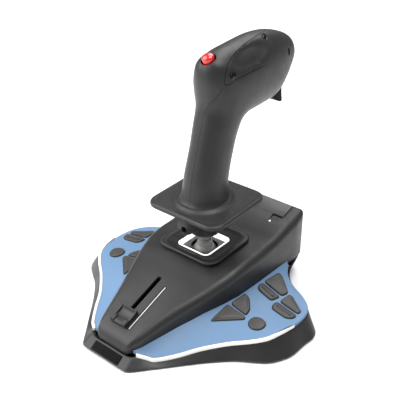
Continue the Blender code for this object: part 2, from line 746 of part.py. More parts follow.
def make_yoke():
    """The ring between frame and stick: it turns on its two trunnions for pitch and carries the roll pin."""
    z = PIVOT.z
    loops = [
        square(half, half, 3, PIVOT.y, height, steps=2)
        for half, height in (
            (YOKE_HALF, z - 3), (YOKE_HALF, z + 3), (YOKE_HALF - 3.5, z + 3), (YOKE_HALF - 3.5, z - 3),
        )
    ]
    yoke = loft("gimbal_yoke", "steel", loops, PIVOT, ring=True)
    for i, side in enumerate((-1, 1)):
        trunnion = turned(
            f"trunnion_{i}", "steel", ((PIN_RADIUS, 14.5), (PIN_RADIUS, 27.5)), (0, PIVOT.y, z), (side, 0, 0), 12
        )
        boolean(yoke, trunnion, "UNION")
    bore = turned("roll_bore_yoke", "steel", ((PIN_RADIUS + GAP, -40), (PIN_RADIUS + GAP, 40)), (0, PIVOT.y, z),
                  TILT_AXIS_Y, 12)
    boolean(yoke, bore)
    turned("roll_pin", "steel", ((PIN_RADIUS, -16.2), (PIN_RADIUS, 16.2)), (0, PIVOT.y, z), TILT_AXIS_Y, 12)


def make_stick():
    """Shaft, dome, collar and magnet, which tilt about both axes."""
    z = PIVOT.z
    origin = (0, PIVOT.y, z)
    profile = (
        (4, z - 13), (4, z - 6), (7.5, z - 5), (7.5, z + 5), (SHAFT_RADIUS, z + 6.5), (SHAFT_RADIUS, 64),
        (BEARING_RADIUS, 66), (BEARING_RADIUS, 118), (5.5, 119.5),
    )
    shaft = turned("stick_shaft", "steel", [(r, h - z) for r, h in profile], origin, sides=20)
    roll_bore = turned("roll_bore_shaft", "steel", ((PIN_RADIUS + GAP, -12), (PIN_RADIUS + GAP, 12)), origin,
                  TILT_AXIS_Y, 12)
    boolean(shaft, roll_bore)
    turned("sensor_magnet", "steel", ((4.5, -17.5), (4.5, -13.4)), origin, sides=14)
    bore = SHAFT_RADIUS + GAP
    outer, inner = [], []
    for step in range(6):
        angle = math.radians(40 + 50 * step / 5)
        outer.append((DOME_RADIUS * math.sin(angle), DOME_RISE + DOME_RADIUS * math.cos(angle)))
        inner.append(((DOME_RADIUS - 1.2) * math.sin(angle), DOME_RISE + (DOME_RADIUS - 1.2) * math.cos(angle)))
    crown = [(bore, 18.6), (bore + 0.8, 17.4), (bore + 1.5, 15.6)]
    turned(
        "dust_dome", "dome_plastic", crown + outer + inner[::-1] + [(bore, 11.5)], origin, sides=24, ring=True
    )
    bore = BEARING_RADIUS + GAP
    collar = turned(
        "shaft_collar", "dark_plastic",
        ((bore, 66.5), (bore + 1.5, 65.4), (11, 64.2), (12.6, 64.2), (14.3, 65.6), (15.6, 71), (17.2, 78),
         (19.6, 85), (21, 90), (20.8, COLLAR_TOP), (bore, COLLAR_TOP)),
        (0, PIVOT.y, 0), sides=24, ring=True, origin=origin,
    )
    lug = [(101.8, 77), (104.2, 74.2), (122, 72), (122, 88.5), (104, 88.5), (101.8, 86.5)]
    boolean(collar, side_prism("collar_lug", "dark_plastic", lug, -5.6, 5.6), "UNION")
    screw_hole = turned("collar_screw_hole", "steel", ((3.1, -2), (3.1, 9)), (2.2, 101, 79.6), TILT_AXIS_Y, 12)
    boolean(collar, screw_hole)
    turned("collar_screw", "steel", ((2.7, 3.5), (2.7, 8.2)), (2.2, 101, 79.6), TILT_AXIS_Y, 12, origin=origin)


def make_springs():
    z = PIVOT.z
    coil("pitch_spring", "steel", (20.2, PIVOT.y, z), TILT_AXIS_X, 3.4, 0.6, 4, 5.0, (0, PIVOT.y, z))
    coil("roll_spring", "steel", (0, PIVOT.y + 10.2, z), TILT_AXIS_Y, 3.4, 0.5, 2.5, 2.8, (0, PIVOT.y, z))


def make_electronics():
    prism("sensor_board", "circuit_board", [(-20, 113), (20, 113), (20, 153), (-20, 153)], 6, 7.6)
    shell = [(-4.6, 38.2), (4.6, 38.2), (4.6, 41.8), (-4.6, 41.8)]
    socket = loft(
        "usb_socket", "steel", [[(x, y, z) for x, z in rounded(shell, 1.6)] for y in (213, 221.6)]
    )
    mouth = rounded([(-4.0, 38.8), (4.0, 38.8), (4.0, 41.2), (-4.0, 41.2)], 1.1)
    boolean(socket, loft("socket_mouth", "steel", [[(x, y, z) for x, z in mouth] for y in (215, 225)]))


# ---------------------------------------------------------------- grip


def grip_loop(row, shrink=0.0):
    """One section of the grip, which stands on the line between its user's side and its far side."""
    near, far, half = Vector(row[:2]), Vector(row[2:4]), row[4] - shrink
    middle = (near + far) / 2
    reach = (near - middle) * (1 - shrink / (near - middle).length)
    loop = []
    for i in range(GRIP_POINTS):
        angle = math.tau * i / GRIP_POINTS
        along, across = math.cos(angle), math.sin(angle)
        along = math.copysign(abs(along) ** (2 / GRIP_SQUARE), along)
        across = math.copysign(abs(across) ** (2 / GRIP_SQUARE), across)
        spot = middle + reach * along
        loop.append((half * across, spot.x, spot.y))
    return loop


def grip_body(name, shrink=0.0):
    return loft(name, "dark_plastic", [grip_loop(row, shrink) for row in GRIP], GRIP_ORIGIN)


def palm_rest(name):
    profile = (
        (4.1, -5.0, 11), (0.8, -4.4, 12), (0, -2.8, 12.4), (0.3, -1.0, 12.4), (1.9, 0, 12), (6.1, 0.6, 12),
        (9.6, 2.0, 14),
    )
    loops = []
    for inset, rise, corner in profile:
        loops.append(
            square(PALM_HALF_X - inset, PALM_HALF_Y - inset, corner, PALM_Y, PALM_TOP + rise, PALM_PITCH)
        )
    return loft(name, "dark_plastic", loops)


def grip_cavity(name):
    """The hollow inside both shells, with the hole for the shaft below it."""
    low = []
    for z, radius in ((80, BEARING_RADIUS + 0.6), (99, BEARING_RADIUS + 0.6), (102, 10)):
        low.append([
            (radius * math.sin(math.tau * i / GRIP_POINTS), PIVOT.y - radius * math.cos(math.tau * i / GRIP_POINTS), z)
            for i in range(GRIP_POINTS)
        ])
    high = [grip_loop(row, GRIP_WALL) for row in GRIP[3:-2]]
    return loft(name, "dark_plastic", low + high)


def thumb_prism(name, shrink):
    """The thumb cover's outline, drawn out along the direction that it faces."""
    outline = grown(rounded(THUMB_OUTLINE, 4), -shrink)
    c, s = math.cos(THUMB_TILT), math.sin(THUMB_TILT)
    loops = [[(reach * c - v * s, y, reach * s + v * c) for y, v in outline] for reach in THUMB_REACH]
    return loft(name, "dark_plastic", loops)


def make_grip():
    """Two shells that meet in the middle plane, each with its half of the palm rest."""
    for side, sign in (("left", -1), ("right", 1)):
        shell = grip_body(f"grip_{side}_shell")
        boolean(shell, palm_rest(f"palm_{side}"), "UNION")
        boolean(shell, grip_cavity(f"cavity_{side}"))
        other = [(0.15 * sign, 60), (0.15 * sign, 300), (-60 * sign, 300), (-60 * sign, 60)]
        half_space = loft(f"other_side_{side}", "dark_plastic", [[(x, y, z) for x, y in other] for z in (60, 260)])
        boolean(shell, half_space)
        recess = turned(
            f"button_recess_{side}", "dark_plastic", ((RED_RADIUS + 1.3, -9), (RED_RADIUS + 1.3, 12)), RED_BUTTON,
            RED_AXIS, 20,
        )
        boolean(shell, recess)
        slot = side_prism(
            f"trigger_slot_{side}", "dark_plastic", [(217.5, 150), (243.5, 150), (243.5, 188), (219.5, 188)],
            -TRIGGER_HALF - 0.5, TRIGGER_HALF + 0.5,
        )
        boolean(shell, slot)
        pin_bore = turned(f"pin_bore_{side}", "steel", ((1.8, -8.4), (1.8, 8.4)), TRIGGER_PIVOT, TILT_AXIS_X, 10)
        boolean(shell, pin_bore)
        if side == "right":
            pocket = thumb_prism("thumb_pocket", 0)
            boolean(pocket, grip_body("pocket_floor", THUMB_INSET + 0.3))
            boolean(shell, pocket)
            boolean(shell, turned("nose_hole", "dark_plastic", ((2.4, 0), (2.4, 6)), NOSE_HOLE, TILT_AXIS_X, 12))
    make_thumb_cover()


def make_thumb_cover():
    """The leaf-shaped thumb rest let into the head's right side, with its two screws."""
    cover = grip_body("thumb_cover")
    boolean(cover, thumb_prism("thumb_outline", 0.35), "INTERSECT")
    boolean(cover, grip_body("cover_back", THUMB_INSET))
    for i, (place, axis) in enumerate(COVER_SCREWS):
        hole = turned(f"cover_screw_hole_{i}", "steel", ((1.9, -4), (1.9, 6)), place, axis, 12)
        boolean(cover, hole)
        turned(
            f"cover_screw_{i + 1}", "steel", ((1.6, -1.1), (1.6, 0.2), (1.2, 0.6)), place, axis, 12, origin=GRIP_ORIGIN
        )


def make_controls():
    """Red button and trigger in the grip's head."""
    r = RED_RADIUS
    turned(
        "red_button", "red_gloss",
        ((r, -6), (r, 0.9), (r - 0.3, 1.7), (r - 1.0, 3.1), (r - 2.3, 3.9), (r - 4.0, 4.3)), RED_BUTTON, RED_AXIS, 20,
    )
    outline = [
        (221.2, 173.5), (224.6, 169.6), (230.7, 163.6), (237.3, 160.1), (240.2, 159.6), (241.4, 161), (240.8, 166),
        (240, 170), (239.4, 176), (237, 184), (226, 185.5), (222, 180),
    ]
    trigger = side_prism("trigger", "black_gloss", outline, -TRIGGER_HALF, TRIGGER_HALF, TRIGGER_PIVOT)
    bore = turned("trigger_bore", "steel", ((1.8, -20), (1.8, 20)), TRIGGER_PIVOT, TILT_AXIS_X, 10)
    boolean(trigger, bore)
    turned("trigger_pin", "steel", ((1.5, -8), (1.5, 8)), TRIGGER_PIVOT, TILT_AXIS_X, 10)


def main():
    clear_scene()
    make_bottom()
    make_skirt()
    make_housing()
    make_labels()
    make_throttle()
    make_wing("right", False)
    make_wing("left", True)
    make_bezel()
    make_tower()
    make_yoke()
    make_stick()
    make_springs()
    make_electronics()
    make_grip()
    make_controls()


main()
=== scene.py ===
"""The looks of the flight joystick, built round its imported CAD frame. Lengths are in millimetres until `world`."""

import json
import math

import bmesh
import bpy
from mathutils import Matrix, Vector
from mathutils.bvhtree import BVHTree

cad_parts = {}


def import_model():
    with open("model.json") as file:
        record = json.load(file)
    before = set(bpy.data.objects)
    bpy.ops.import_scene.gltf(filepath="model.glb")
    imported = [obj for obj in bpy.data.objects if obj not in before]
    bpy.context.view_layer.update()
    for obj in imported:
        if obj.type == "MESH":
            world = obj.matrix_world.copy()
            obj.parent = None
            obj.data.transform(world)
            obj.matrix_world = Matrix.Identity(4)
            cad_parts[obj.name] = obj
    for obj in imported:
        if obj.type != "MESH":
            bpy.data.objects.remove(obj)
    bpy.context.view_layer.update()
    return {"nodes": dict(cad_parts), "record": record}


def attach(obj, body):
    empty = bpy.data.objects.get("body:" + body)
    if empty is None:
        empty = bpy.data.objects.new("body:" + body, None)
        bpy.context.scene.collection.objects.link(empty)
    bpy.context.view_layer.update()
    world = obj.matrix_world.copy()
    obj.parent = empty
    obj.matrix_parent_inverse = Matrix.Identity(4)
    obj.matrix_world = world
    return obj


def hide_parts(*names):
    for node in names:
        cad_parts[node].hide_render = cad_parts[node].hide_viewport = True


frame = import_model()

MM = 0.001
MIDDLE_Y = 126.84  # from the base's front edge to the middle of the whole joystick
FOOT = 1.5  # the skirt's height above the table
GAP = 0.3  # clearance between neighbouring pieces
WALL = 2.5  # the housing's moulded wall
REAR_WALL, REAR_WALL_Y = 6.0, 192  # the thicker wall under the rear recess, and where it starts
PANEL = 2.5  # thickness of a wing panel
CORNER_STEPS = 10  # in each rounded corner of a square loop
STRIP_STEPS = 30  # along a strip that follows the housing's top
PIVOT = Vector((0, 133, 37))  # where the stick's two tilt axes cross

# Rim of the base, right half: foot (x, y), top (x, y, z) and the wing root's place along the housing
RIM = (
    (0, 0, 0, 9.5, 6.5, 0),
    (20, 0, 20, 9.5, 6.6, 8),
    (27.5, 2, 26.5, 13.5, 7.2, 15.5),
    (40, 17, 32.5, 18.5, 4.4, 19),
    (47, 25.5, 39, 23.2, 2.6, 24),
    (58.5, 39.5, 51, 38, 4.2, 38),
    (70.5, 53.5, 62.3, 54, 7.0, 54),
    (85, 68, 78.1, 70, 10.7, 68),
    (97, 76.2, 92, 81, 13.4, 80),
    (108.5, 84.5, 102, 91.5, 15.2, 92),
    (115, 94, 106.3, 101.5, 16.2, 104),
    (119.5, 106, 108.6, 112.5, 15.9, 116),
    (120, 124, 109.8, 126, 15.0, 128),
    (120.7, 138.5, 108.8, 141, 14.6, 141),
    (114, 148, 104, 151.5, 15.0, 152),
    (97, 152, 94, 158.5, 17.0, 160),
    (79, 160.5, 81.6, 164.4, 19.0, 169),
    (66, 171, 68.5, 176, 19.4, 179),
    (57, 186, 60.5, 190, 19.0, 190),
    (48, 205, 55, 207, 18.0, 205),
    (44.5, 216, 50.3, 219, 17.5, 219),
    (38, 219, 43, 222, 17.5, 222),
    (0, 219, 0, 222, 17.5, 222),
)
RIM_STEPS = 6
FIRST_WING_ROW, LAST_WING_ROW, LAST_STRIPE_ROW = 2, 18, 11.7
STRIPE_WIDTH = 2.3

# The wing's height where it meets the housing: y, z
ROOT_HEIGHT = ((14, 10), (44, 15), (81, 22.3), (106, 24.6), (130, 25.2), (195, 24.6))

# Housing sections: y, half width, height at the shoulder, height in the middle, shoulder radius, foot
SECTIONS = (
    (10.7, 13.5, 8.6, 8.8, 1.2, 7.0),
    (11.5, 17.0, 11.8, 12.2, 2.5, 7.0),
    (13.5, 19.6, 15.2, 15.6, 3.5, 7.6),
    (16.5, 21.2, 18.0, 18.3, 4.5, 8.0),
    (22, 24.0, 20.8, 20.8, 5.5, 3.0),
    (40, 29.4, 27.8, 27.6, 7.0, 3.0),
    (55, 34.2, 32.9, 33.3, 8.0, 3.0),
    (70, 39.9, 37.2, 39.0, 8.0, 3.0),
    (76, 42.0, 38.9, 41.2, 8.0, 3.0),
    (88, 46.1, 42.2, 45.4, 8.0, 3.0),
    (99, 49.7, 45.8, 49.4, 8.0, 3.0),
    (105, 51.2, 47.3, 50.9, 8.0, 3.0),
    (115, 53.2, 49.8, 51.5, 8.0, 3.0),
    (130, 54.2, 51.9, 52.0, 8.0, 3.0),
    (145, 54.5, 52.6, 52.5, 8.0, 3.0),
    (166, 54.5, 55.0, 53.3, 8.0, 3.0),
    (177, 54.5, 57.4, 56.0, 8.0, 3.0),
    (190, 54.5, 60.3, 60.0, 8.0, 18.7),
    (197, 54.3, 61.5, 61.4, 8.0, 18.7),
    (206, 53.8, 63.0, 63.0, 8.0, 18.7),
    (213, 52.6, 64.2, 64.2, 7.0, 18.7),
    (219, 51.2, 65.2, 65.2, 5.0, 18.7),
    (222, 49.6, 64.6, 64.8, 3.5, 18.7),
)
SLOPE = math.atan((41.2 - 20.8) / (76 - 22))  # lean of the housing's front, where the slider runs
RECESS_Y, RECESS_DEPTH = 201.5, 3.4  # front edge of the rear recess
RECESS_END = (225, 66.2)  # where its floor would leave the housing at the rear: y, z
LED = (32, 190.8)

# The slider on the housing's front, its slot and the scale beside it
THROTTLE_X = -3.1
THROTTLE_HALF = 8.7
THROTTLE_Y = (22.3, 38.8)  # the knob at rest
SLOT_HALF = 2.3
SLOT_Y = (27.5, 75.8)
SCALE_X = 8.6
SCALE_Y = (23, 70)

# Bezel, light ring, cover plate, dome, shaft and collar
BEZEL_Y = 133.2
NECK_HALF = 29.6  # the bezel's part inside the housing
FRAME_PITCH = 0.035  # rise of the bezel, the ring and the cover towards the rear
RING_Y = 131.8
RING_HALF = 18.2
RING_TOP = 53.2
RING_BAND = 1.4
COVER_TOP = 48.4
OPENING_Y = 132.6
OPENING_RADIUS = 12.5
DOME_RADIUS = 11.2
DOME_RISE = 4.5  # of the dome's middle over the pivot
SHAFT_RADIUS = 5.2
BEARING_RADIUS = 7.0
COLLAR_TOP = 90.4

# The square palm rest at the grip's foot
PALM_Y = 135.2
PALM_HALF = (41.1, 38.0)
PALM_TOP = 97.5
PALM_PITCH = math.tan(math.radians(3))

# Grip sections in the middle plane: user's side (y, z), far side (y, z), half width
GRIP = (
    (105.5, 92, 158, 93.5, 25.5),
    (108, 97.5, 155, 98.5, 23),
    (111.5, 104.5, 153.5, 106, 19.5),
    (114.5, 123, 156.5, 122.5, 18),
    (121.5, 147.5, 162.5, 143, 17.5),
    (126.5, 166.5, 167, 156, 18),
    (131, 183.5, 172, 164.5, 19),
    (129.5, 196.5, 179.5, 168, 20.5),
    (128, 210, 188, 168, 21.5),
    (132.5, 223.5, 196.5, 168, 22.5),
    (147, 229, 204, 168, 22),
    (169, 232, 212, 168.5, 21.5),
    (193, 234.3, 221, 169.5, 20.5),
    (215, 233, 228.5, 172.5, 18.5),
    (235, 227.6, 235.5, 179, 15.5),
    (247.5, 221, 243, 188.5, 12.3),
    (252.6, 211.5, 250.9, 197.5, 8.8),
)
GRIP_SIDES = 72
GRIP_STEPS = 6
GRIP_SQUARE = 2.25  # exponent of the section's curve, where 2 is an ellipse

# Thumb cover, seen square on from the right and above: along the grip and up
THUMB_TILT = math.radians(32)
THUMB_OUTLINE = (
    (137.5, 166.5), (138, 171), (140.5, 176.5), (148, 183), (162, 188.5), (178, 192), (195, 194.5), (203, 195),
    (207.5, 192.5), (207, 187), (202, 179.5), (196, 173), (189.5, 168.8), (175, 167.5), (160, 167), (147, 166.3),
    (141, 164.8),
)
THUMB_INSET = 1.4
DISH_MIDDLE, DISH_HALF = (171.5, 180.3), (25.5, 9.6)  # the oval hollow in the thumb cover
DISH_TURN, DISH_DEPTH = math.radians(7), 1.55
# Place and axis of each screw in the thumb cover, and how far its seat stands out
COVER_SCREWS = (
    ((18.3, 145.2, 212.8), (0.86, -0.32, 0.40), 0.35),
    ((10, 199.8, 231.0), (0.70, -0.05, 0.71), 0.9),
)
RED_BUTTON = Vector((0, 136.4, 224.9))
RED_AXIS = Vector((0, -0.34, 0.94)).normalized()
RED_RADIUS = 5.3
TRIGGER_HALF = 5.0
NOSE_HOLE = (231.3, 211.7)  # y, z

# Buttons on the right wing: corners (x, y) and how round they are; two carry a raised bar
WING_BUTTONS = {
    "front_inner": (((52.5, 77.5), (74.5, 97.5), (72, 100.3), (53, 101)), 3.0),
    "rear_inner": (((54.5, 103.5), (72.5, 102), (70.5, 110), (60.5, 121.8), (56, 121.8)), 2.5),
    "lower_inner": (((60.2, 135.8), (76.5, 133.5), (79, 143.6), (59, 146.0), (57.3, 141.5)), 2.5),
    "upper_inner": (((58, 148.6), (79.5, 146.2), (81, 153.5), (64, 168.3), (60, 168.3)), 2.5),
    "lower_outer": (((83, 125.3), (99, 123.5), (103.8, 127.5), (103.6, 133.2), (81.5, 136.0), (80.4, 131.0)), 2.5),
    "upper_outer": (((82.4, 138.6), (103.6, 135.8), (103.6, 140.5), (87, 152.2), (83, 152.2)), 2.5),
}
KEY_BARS = {"lower_inner": ((62.5, 140.6), (74.5, 138.8)), "lower_outer": ((85.5, 130.6), (99.5, 128.8))}
ROUND_BUTTON = ((85.2, 100.3), 7.2)
BUTTON_PROUD = 1.6

# Stage, in metres and degrees; an azimuth of 0 is in front of the joystick and 90 on its right
FLOOR_COLOUR = (0.93, 0.93, 0.93)
FLOOR_HALF, FLOOR_DROP = 6.0, 0.0002
WORLD_STRENGTH = 0.3
LIGHT_AIM = Vector((0, 0, 0.08))
LIGHTS = (  # name, azimuth, elevation, distance, side, power
    ("key", -48, 40, 1.3, 1.4, 27),
    ("rear", 200, 55, 1.5, 0.9, 11),
    ("side", 100, 74, 1.5, 0.9, 17),
)
CAMERA_PLACE = (351.6, -289.4, 400)
CAMERA_AZIMUTH, CAMERA_ELEVATION, CAMERA_LENS = 40.24, 28.98, 63


def world(point):
    """Blender's metres for a place in millimetres, measured from the base's front edge."""
    return Vector((point[0], point[1] - MIDDLE_Y, point[2] + FOOT)) * MM


# ---------------------------------------------------------------- materials


def shader_of(name):
    made = bpy.data.materials.new(name)
    made.use_nodes = True
    return made, made.node_tree, made.node_tree.nodes["Principled BSDF"]


def noise(tree, scale, detail):
    """Noise that stays with the object as it moves."""
    place = tree.nodes.new("ShaderNodeTexCoord")
    texture = tree.nodes.new("ShaderNodeTexNoise")
    texture.inputs["Scale"].default_value = scale
    texture.inputs["Detail"].default_value = detail
    tree.links.new(place.outputs["Object"], texture.inputs["Vector"])
    return texture.outputs["Fac"]


def mapped(tree, value, low, high):
    """The noise's middle range spread between two numbers."""
    spread = tree.nodes.new("ShaderNodeMapRange")
    spread.inputs["From Min"].default_value = 0.3
    spread.inputs["From Max"].default_value = 0.7
    spread.inputs["To Min"].default_value = low
    spread.inputs["To Max"].default_value = high
    tree.links.new(value, spread.inputs["Value"])
    return spread.outputs["Result"]


def moulded(name, colour, rough, vary=0.06, grain=1600.0, depth=0.03, coat=0.0, specular=0.5):
    """Moulded plastic: a fine spark-eroded grain, slow changes of shade and patches that are a little glossier."""
    made, tree, shader = shader_of(name)
    mix = tree.nodes.new("ShaderNodeMix")
    mix.data_type = "RGBA"
    mix.inputs["A"].default_value = (*[c * (1 - vary) for c in colour], 1)
    mix.inputs["B"].default_value = (*[min(1.0, c * (1 + vary)) for c in colour], 1)
    slow = noise(tree, 35.0, 3.0)
    tree.links.new(slow, mix.inputs["Factor"])
    tree.links.new(mix.outputs["Result"], shader.inputs["Base Color"])
    tree.links.new(mapped(tree, noise(tree, 90.0, 4.0), rough - 0.05, rough + 0.05), shader.inputs["Roughness"])
    bump = tree.nodes.new("ShaderNodeBump")
    bump.inputs["Strength"].default_value = 0.35
    bump.inputs["Distance"].default_value = depth * MM
    tree.links.new(noise(tree, grain, 2.0), bump.inputs["Height"])
    tree.links.new(bump.outputs["Normal"], shader.inputs["Normal"])
    shader.inputs["Coat Weight"].default_value = coat
    shader.inputs["Coat Roughness"].default_value = 0.08
    shader.inputs["Specular IOR Level"].default_value = specular
    return made


def metal(name, colour, rough):
    """Machined or drawn metal with fine streaks."""
    made, tree, shader = shader_of(name)
    shader.inputs["Metallic"].default_value = 1.0
    mix = tree.nodes.new("ShaderNodeMix")
    mix.data_type = "RGBA"
    mix.inputs["A"].default_value = (*[c * 0.9 for c in colour], 1)
    mix.inputs["B"].default_value = (*[min(1.0, c * 1.08) for c in colour], 1)
    tree.links.new(noise(tree, 300.0, 5.0), mix.inputs["Factor"])
    tree.links.new(mix.outputs["Result"], shader.inputs["Base Color"])
    tree.links.new(mapped(tree, noise(tree, 900.0, 3.0), rough - 0.06, rough + 0.08), shader.inputs["Roughness"])
    return made


def circuit(name):
    """Green solder mask with a faint pattern of copper underneath."""
    made, tree, shader = shader_of(name)
    cells = tree.nodes.new("ShaderNodeTexVoronoi")
    cells.feature = "DISTANCE_TO_EDGE"
    cells.inputs["Scale"].default_value = 260.0
    place = tree.nodes.new("ShaderNodeTexCoord")
    tree.links.new(place.outputs["Object"], cells.inputs["Vector"])
    mix = tree.nodes.new("ShaderNodeMix")
    mix.data_type = "RGBA"
    mix.inputs["A"].default_value = (0.04, 0.20, 0.09, 1)
    mix.inputs["B"].default_value = (0.015, 0.11, 0.045, 1)
    tree.links.new(mapped(tree, cells.outputs["Distance"], 0, 1), mix.inputs["Factor"])
    tree.links.new(mix.outputs["Result"], shader.inputs["Base Color"])
    shader.inputs["Roughness"].default_value = 0.35
    return made


def glowing(name, colour, strength):
    """The milky light guide, lit from inside."""
    made, tree, shader = shader_of(name)
    tree.links.new(mapped(tree, noise(tree, 120.0, 2.0), 0.25, 0.35), shader.inputs["Roughness"])
    mix = tree.nodes.new("ShaderNodeMix")
    mix.data_type = "RGBA"
    mix.inputs["A"].default_value = (*colour, 1)
    mix.inputs["B"].default_value = (*[c * 0.94 for c in colour], 1)
    tree.links.new(noise(tree, 60.0, 2.0), mix.inputs["Factor"])
    tree.links.new(mix.outputs["Result"], shader.inputs["Base Color"])
    shader.inputs["Emission Color"].default_value = (*colour, 1)
    shader.inputs["Emission Strength"].default_value = strength
    return made


LOOKS = {
    "dark_plastic": moulded("dark_satin", (0.019, 0.019, 0.020), 0.42, specular=0.38),
    "blue_plastic": moulded("blue_satin", (0.127, 0.220, 0.358), 0.44, vary=0.03, specular=0.3),
    "stripe_white": moulded("stripe_paint", (0.84, 0.82, 0.77), 0.35, vary=0.02),
    "button_plastic": moulded("button_satin", (0.050, 0.047, 0.044), 0.42, specular=0.35),
    "light_white": glowing("light_guide", (1.0, 1.0, 1.0), 1.0),
    "dome_plastic": moulded("dome_satin", (0.21, 0.205, 0.20), 0.38),
    "red_gloss": moulded("red_gloss", (0.62, 0.008, 0.012), 0.16, vary=0.03, depth=0.004, coat=0.8),
    "black_gloss": moulded("black_gloss", (0.003, 0.003, 0.003), 0.5, depth=0.004, specular=0.06),
    "black_rubber": moulded("black_rubber", (0.018, 0.018, 0.018), 0.85, grain=900.0, depth=0.06, specular=0.3),
    "steel": metal("machined_steel", (0.46, 0.46, 0.47), 0.34),
    "circuit_board": circuit("circuit_board"),
    "black_screw": metal("black_oxide", (0.045, 0.045, 0.047), 0.34),
    "scale_line": moulded("scale_print", (0.62, 0.62, 0.62), 0.4, vary=0.02),
    "shaft": moulded("shaft_satin", (0.23, 0.225, 0.22), 0.34),
    "plate_satin": moulded("plate_satin", (0.030, 0.030, 0.031), 0.38, depth=0.01),
    "cover_plate": moulded("cover_satin", (0.10, 0.10, 0.10), 0.42),
}


# ---------------------------------------------------------------- mesh building


def link(name, mesh):
    obj = bpy.data.objects.new(name, mesh)
    bpy.context.scene.collection.objects.link(obj)
    return obj


def make(name, points, faces):
    """A mesh from millimetre points, with its faces turned outwards."""
    mesh = bpy.data.meshes.new(name)
    mesh.from_pydata([world(point) for point in points], [], faces)
    shape = bmesh.new()
    shape.from_mesh(mesh)
    bmesh.ops.remove_doubles(shape, verts=shape.verts, dist=1e-7)
    bmesh.ops.recalc_face_normals(shape, faces=shape.faces)
    shape.to_mesh(mesh)
    shape.free()
    return link(name, mesh)


def loft(name, loops, ring=False):
    """A closed solid through loops of equally many points: capped at its ends, or joined into a ring."""
    count, rows = len(loops[0]), len(loops)
    points = [point for loop in loops for point in loop]
    faces = []
    for row in range(rows if ring else rows - 1):
        low, high = row * count, (row + 1) % rows * count
        for i in range(count):
            j = (i + 1) % count
            faces.append((low + i, low + j, high + j, high + i))
    if not ring:
        faces.append(tuple(range(count)))
        faces.append(tuple(range((rows - 1) * count, rows * count)))
    return make(name, points, faces)


def prism(name, outline, bottom, top):
    return loft(name, [[(x, y, z) for x, y in outline] for z in (bottom, top)])


def side_prism(name, outline, left, right):
    return loft(name, [[(x, y, z) for y, z in outline] for x in (left, right)])


def turned(name, profile, base, axis=(0, 0, 1), sides=64, ring=False):
    """A solid of revolution from (radius, height) pairs."""
    turn = Vector((0, 0, 1)).rotation_difference(Vector(axis)).to_matrix()
    loops = []
    for radius, height in profile:
        loops.append([
            Vector(base) + turn @ Vector((
                radius * math.cos(math.tau * i / sides), radius * math.sin(math.tau * i / sides), height,
            ))
            for i in range(sides)
        ])
    return loft(name, loops, ring)


def settle(obj):
    """Applies the object's modifiers."""
    bpy.context.view_layer.update()
    graph = bpy.context.evaluated_depsgraph_get()
    mesh = bpy.data.meshes.new_from_object(obj.evaluated_get(graph))
    old = obj.data
    obj.modifiers.clear()
    obj.data = mesh
    bpy.data.meshes.remove(old)
    return obj


def combine(target, other, operation="DIFFERENCE"):
    """Applies a Boolean to the target and removes the other object."""
    modifier = target.modifiers.new("combine", "BOOLEAN")
    modifier.operation = operation
    modifier.solver = "EXACT"
    modifier.object = other
    settle(target)
    bpy.data.objects.remove(other, do_unlink=True)
    return target


def copy_of(obj, name):
    return link(name, obj.data.copy())


def eased(obj, width, segments=3, angle=30):
    """Rounds the sharp edges."""
    modifier = obj.modifiers.new("ease", "BEVEL")
    modifier.width = width * MM
    modifier.segments = segments
    modifier.limit_method = "ANGLE"
    modifier.angle_limit = math.radians(angle)
    modifier.use_clamp_overlap = True
    return settle(obj)


def between(table, at, column=1):
    """A column's value at a place, from the rows on either side."""
    for before, after in zip(table, table[1:]):
        if at <= after[0]:
            share = max(0.0, (at - before[0]) / (after[0] - before[0]))
            return before[column] + share * (after[column] - before[column])
    return table[-1][column]


def smooth(rows, steps, closed=False):
    """A Catmull-Rom curve through the rows, of any number of columns."""
    curve = []
    count = len(rows)
    for i in range(count if closed else count - 1):
        if closed:
            a, b, c, d = (rows[k % count] for k in (i - 1, i, i + 1, i + 2))
        else:
            a, b, c, d = (rows[min(max(k, 0), count - 1)] for k in (i - 1, i, i + 1, i + 2))
        for step in range(steps):
            t = step / steps
            curve.append(tuple(
                0.5 * (2 * q + (r - p) * t + (2 * p - 5 * q + 4 * r - s) * t**2 + (3 * q - p - 3 * r + s) * t**3)
                for p, q, r, s in zip(a, b, c, d)
            ))
    if not closed:
        curve.append(tuple(float(value) for value in rows[-1]))
    return curve


def rounded(corners, radius, steps=6):
    """The outline through the corners, each rounded."""
    outline = []
    for i, corner in enumerate(corners):
        here = Vector(corner)
        before = Vector(corners[i - 1]) - here
        after = Vector(corners[(i + 1) % len(corners)]) - here
        start = here + before.normalized() * min(radius, before.length * 0.45)
        end = here + after.normalized() * min(radius, after.length * 0.45)
        for step in range(steps + 1):
            t = step / steps
            outline.append(tuple(start * (1 - t) ** 2 + here * 2 * t * (1 - t) + end * t**2))
    return outline


def grown(outline, distance):
    """A closed outline moved outwards by a distance, or inwards by a negative one."""
    count = len(outline)
    area = sum(
        outline[i][0] * outline[(i + 1) % count][1] - outline[(i + 1) % count][0] * outline[i][1]
        for i in range(count)
    )
    side = 1 if area > 0 else -1
    moved = []
    for i in range(count):
        before = (Vector(outline[i]) - Vector(outline[i - 1])).normalized()
        after = (Vector(outline[(i + 1) % count]) - Vector(outline[i])).normalized()
        normal = Vector((before.y + after.y, -before.x - after.x)).normalized() * side
        lean = max(0.5, normal.dot(Vector((after.y, -after.x)) * side))
        moved.append(tuple(Vector(outline[i]) + normal * distance / lean))
    return moved


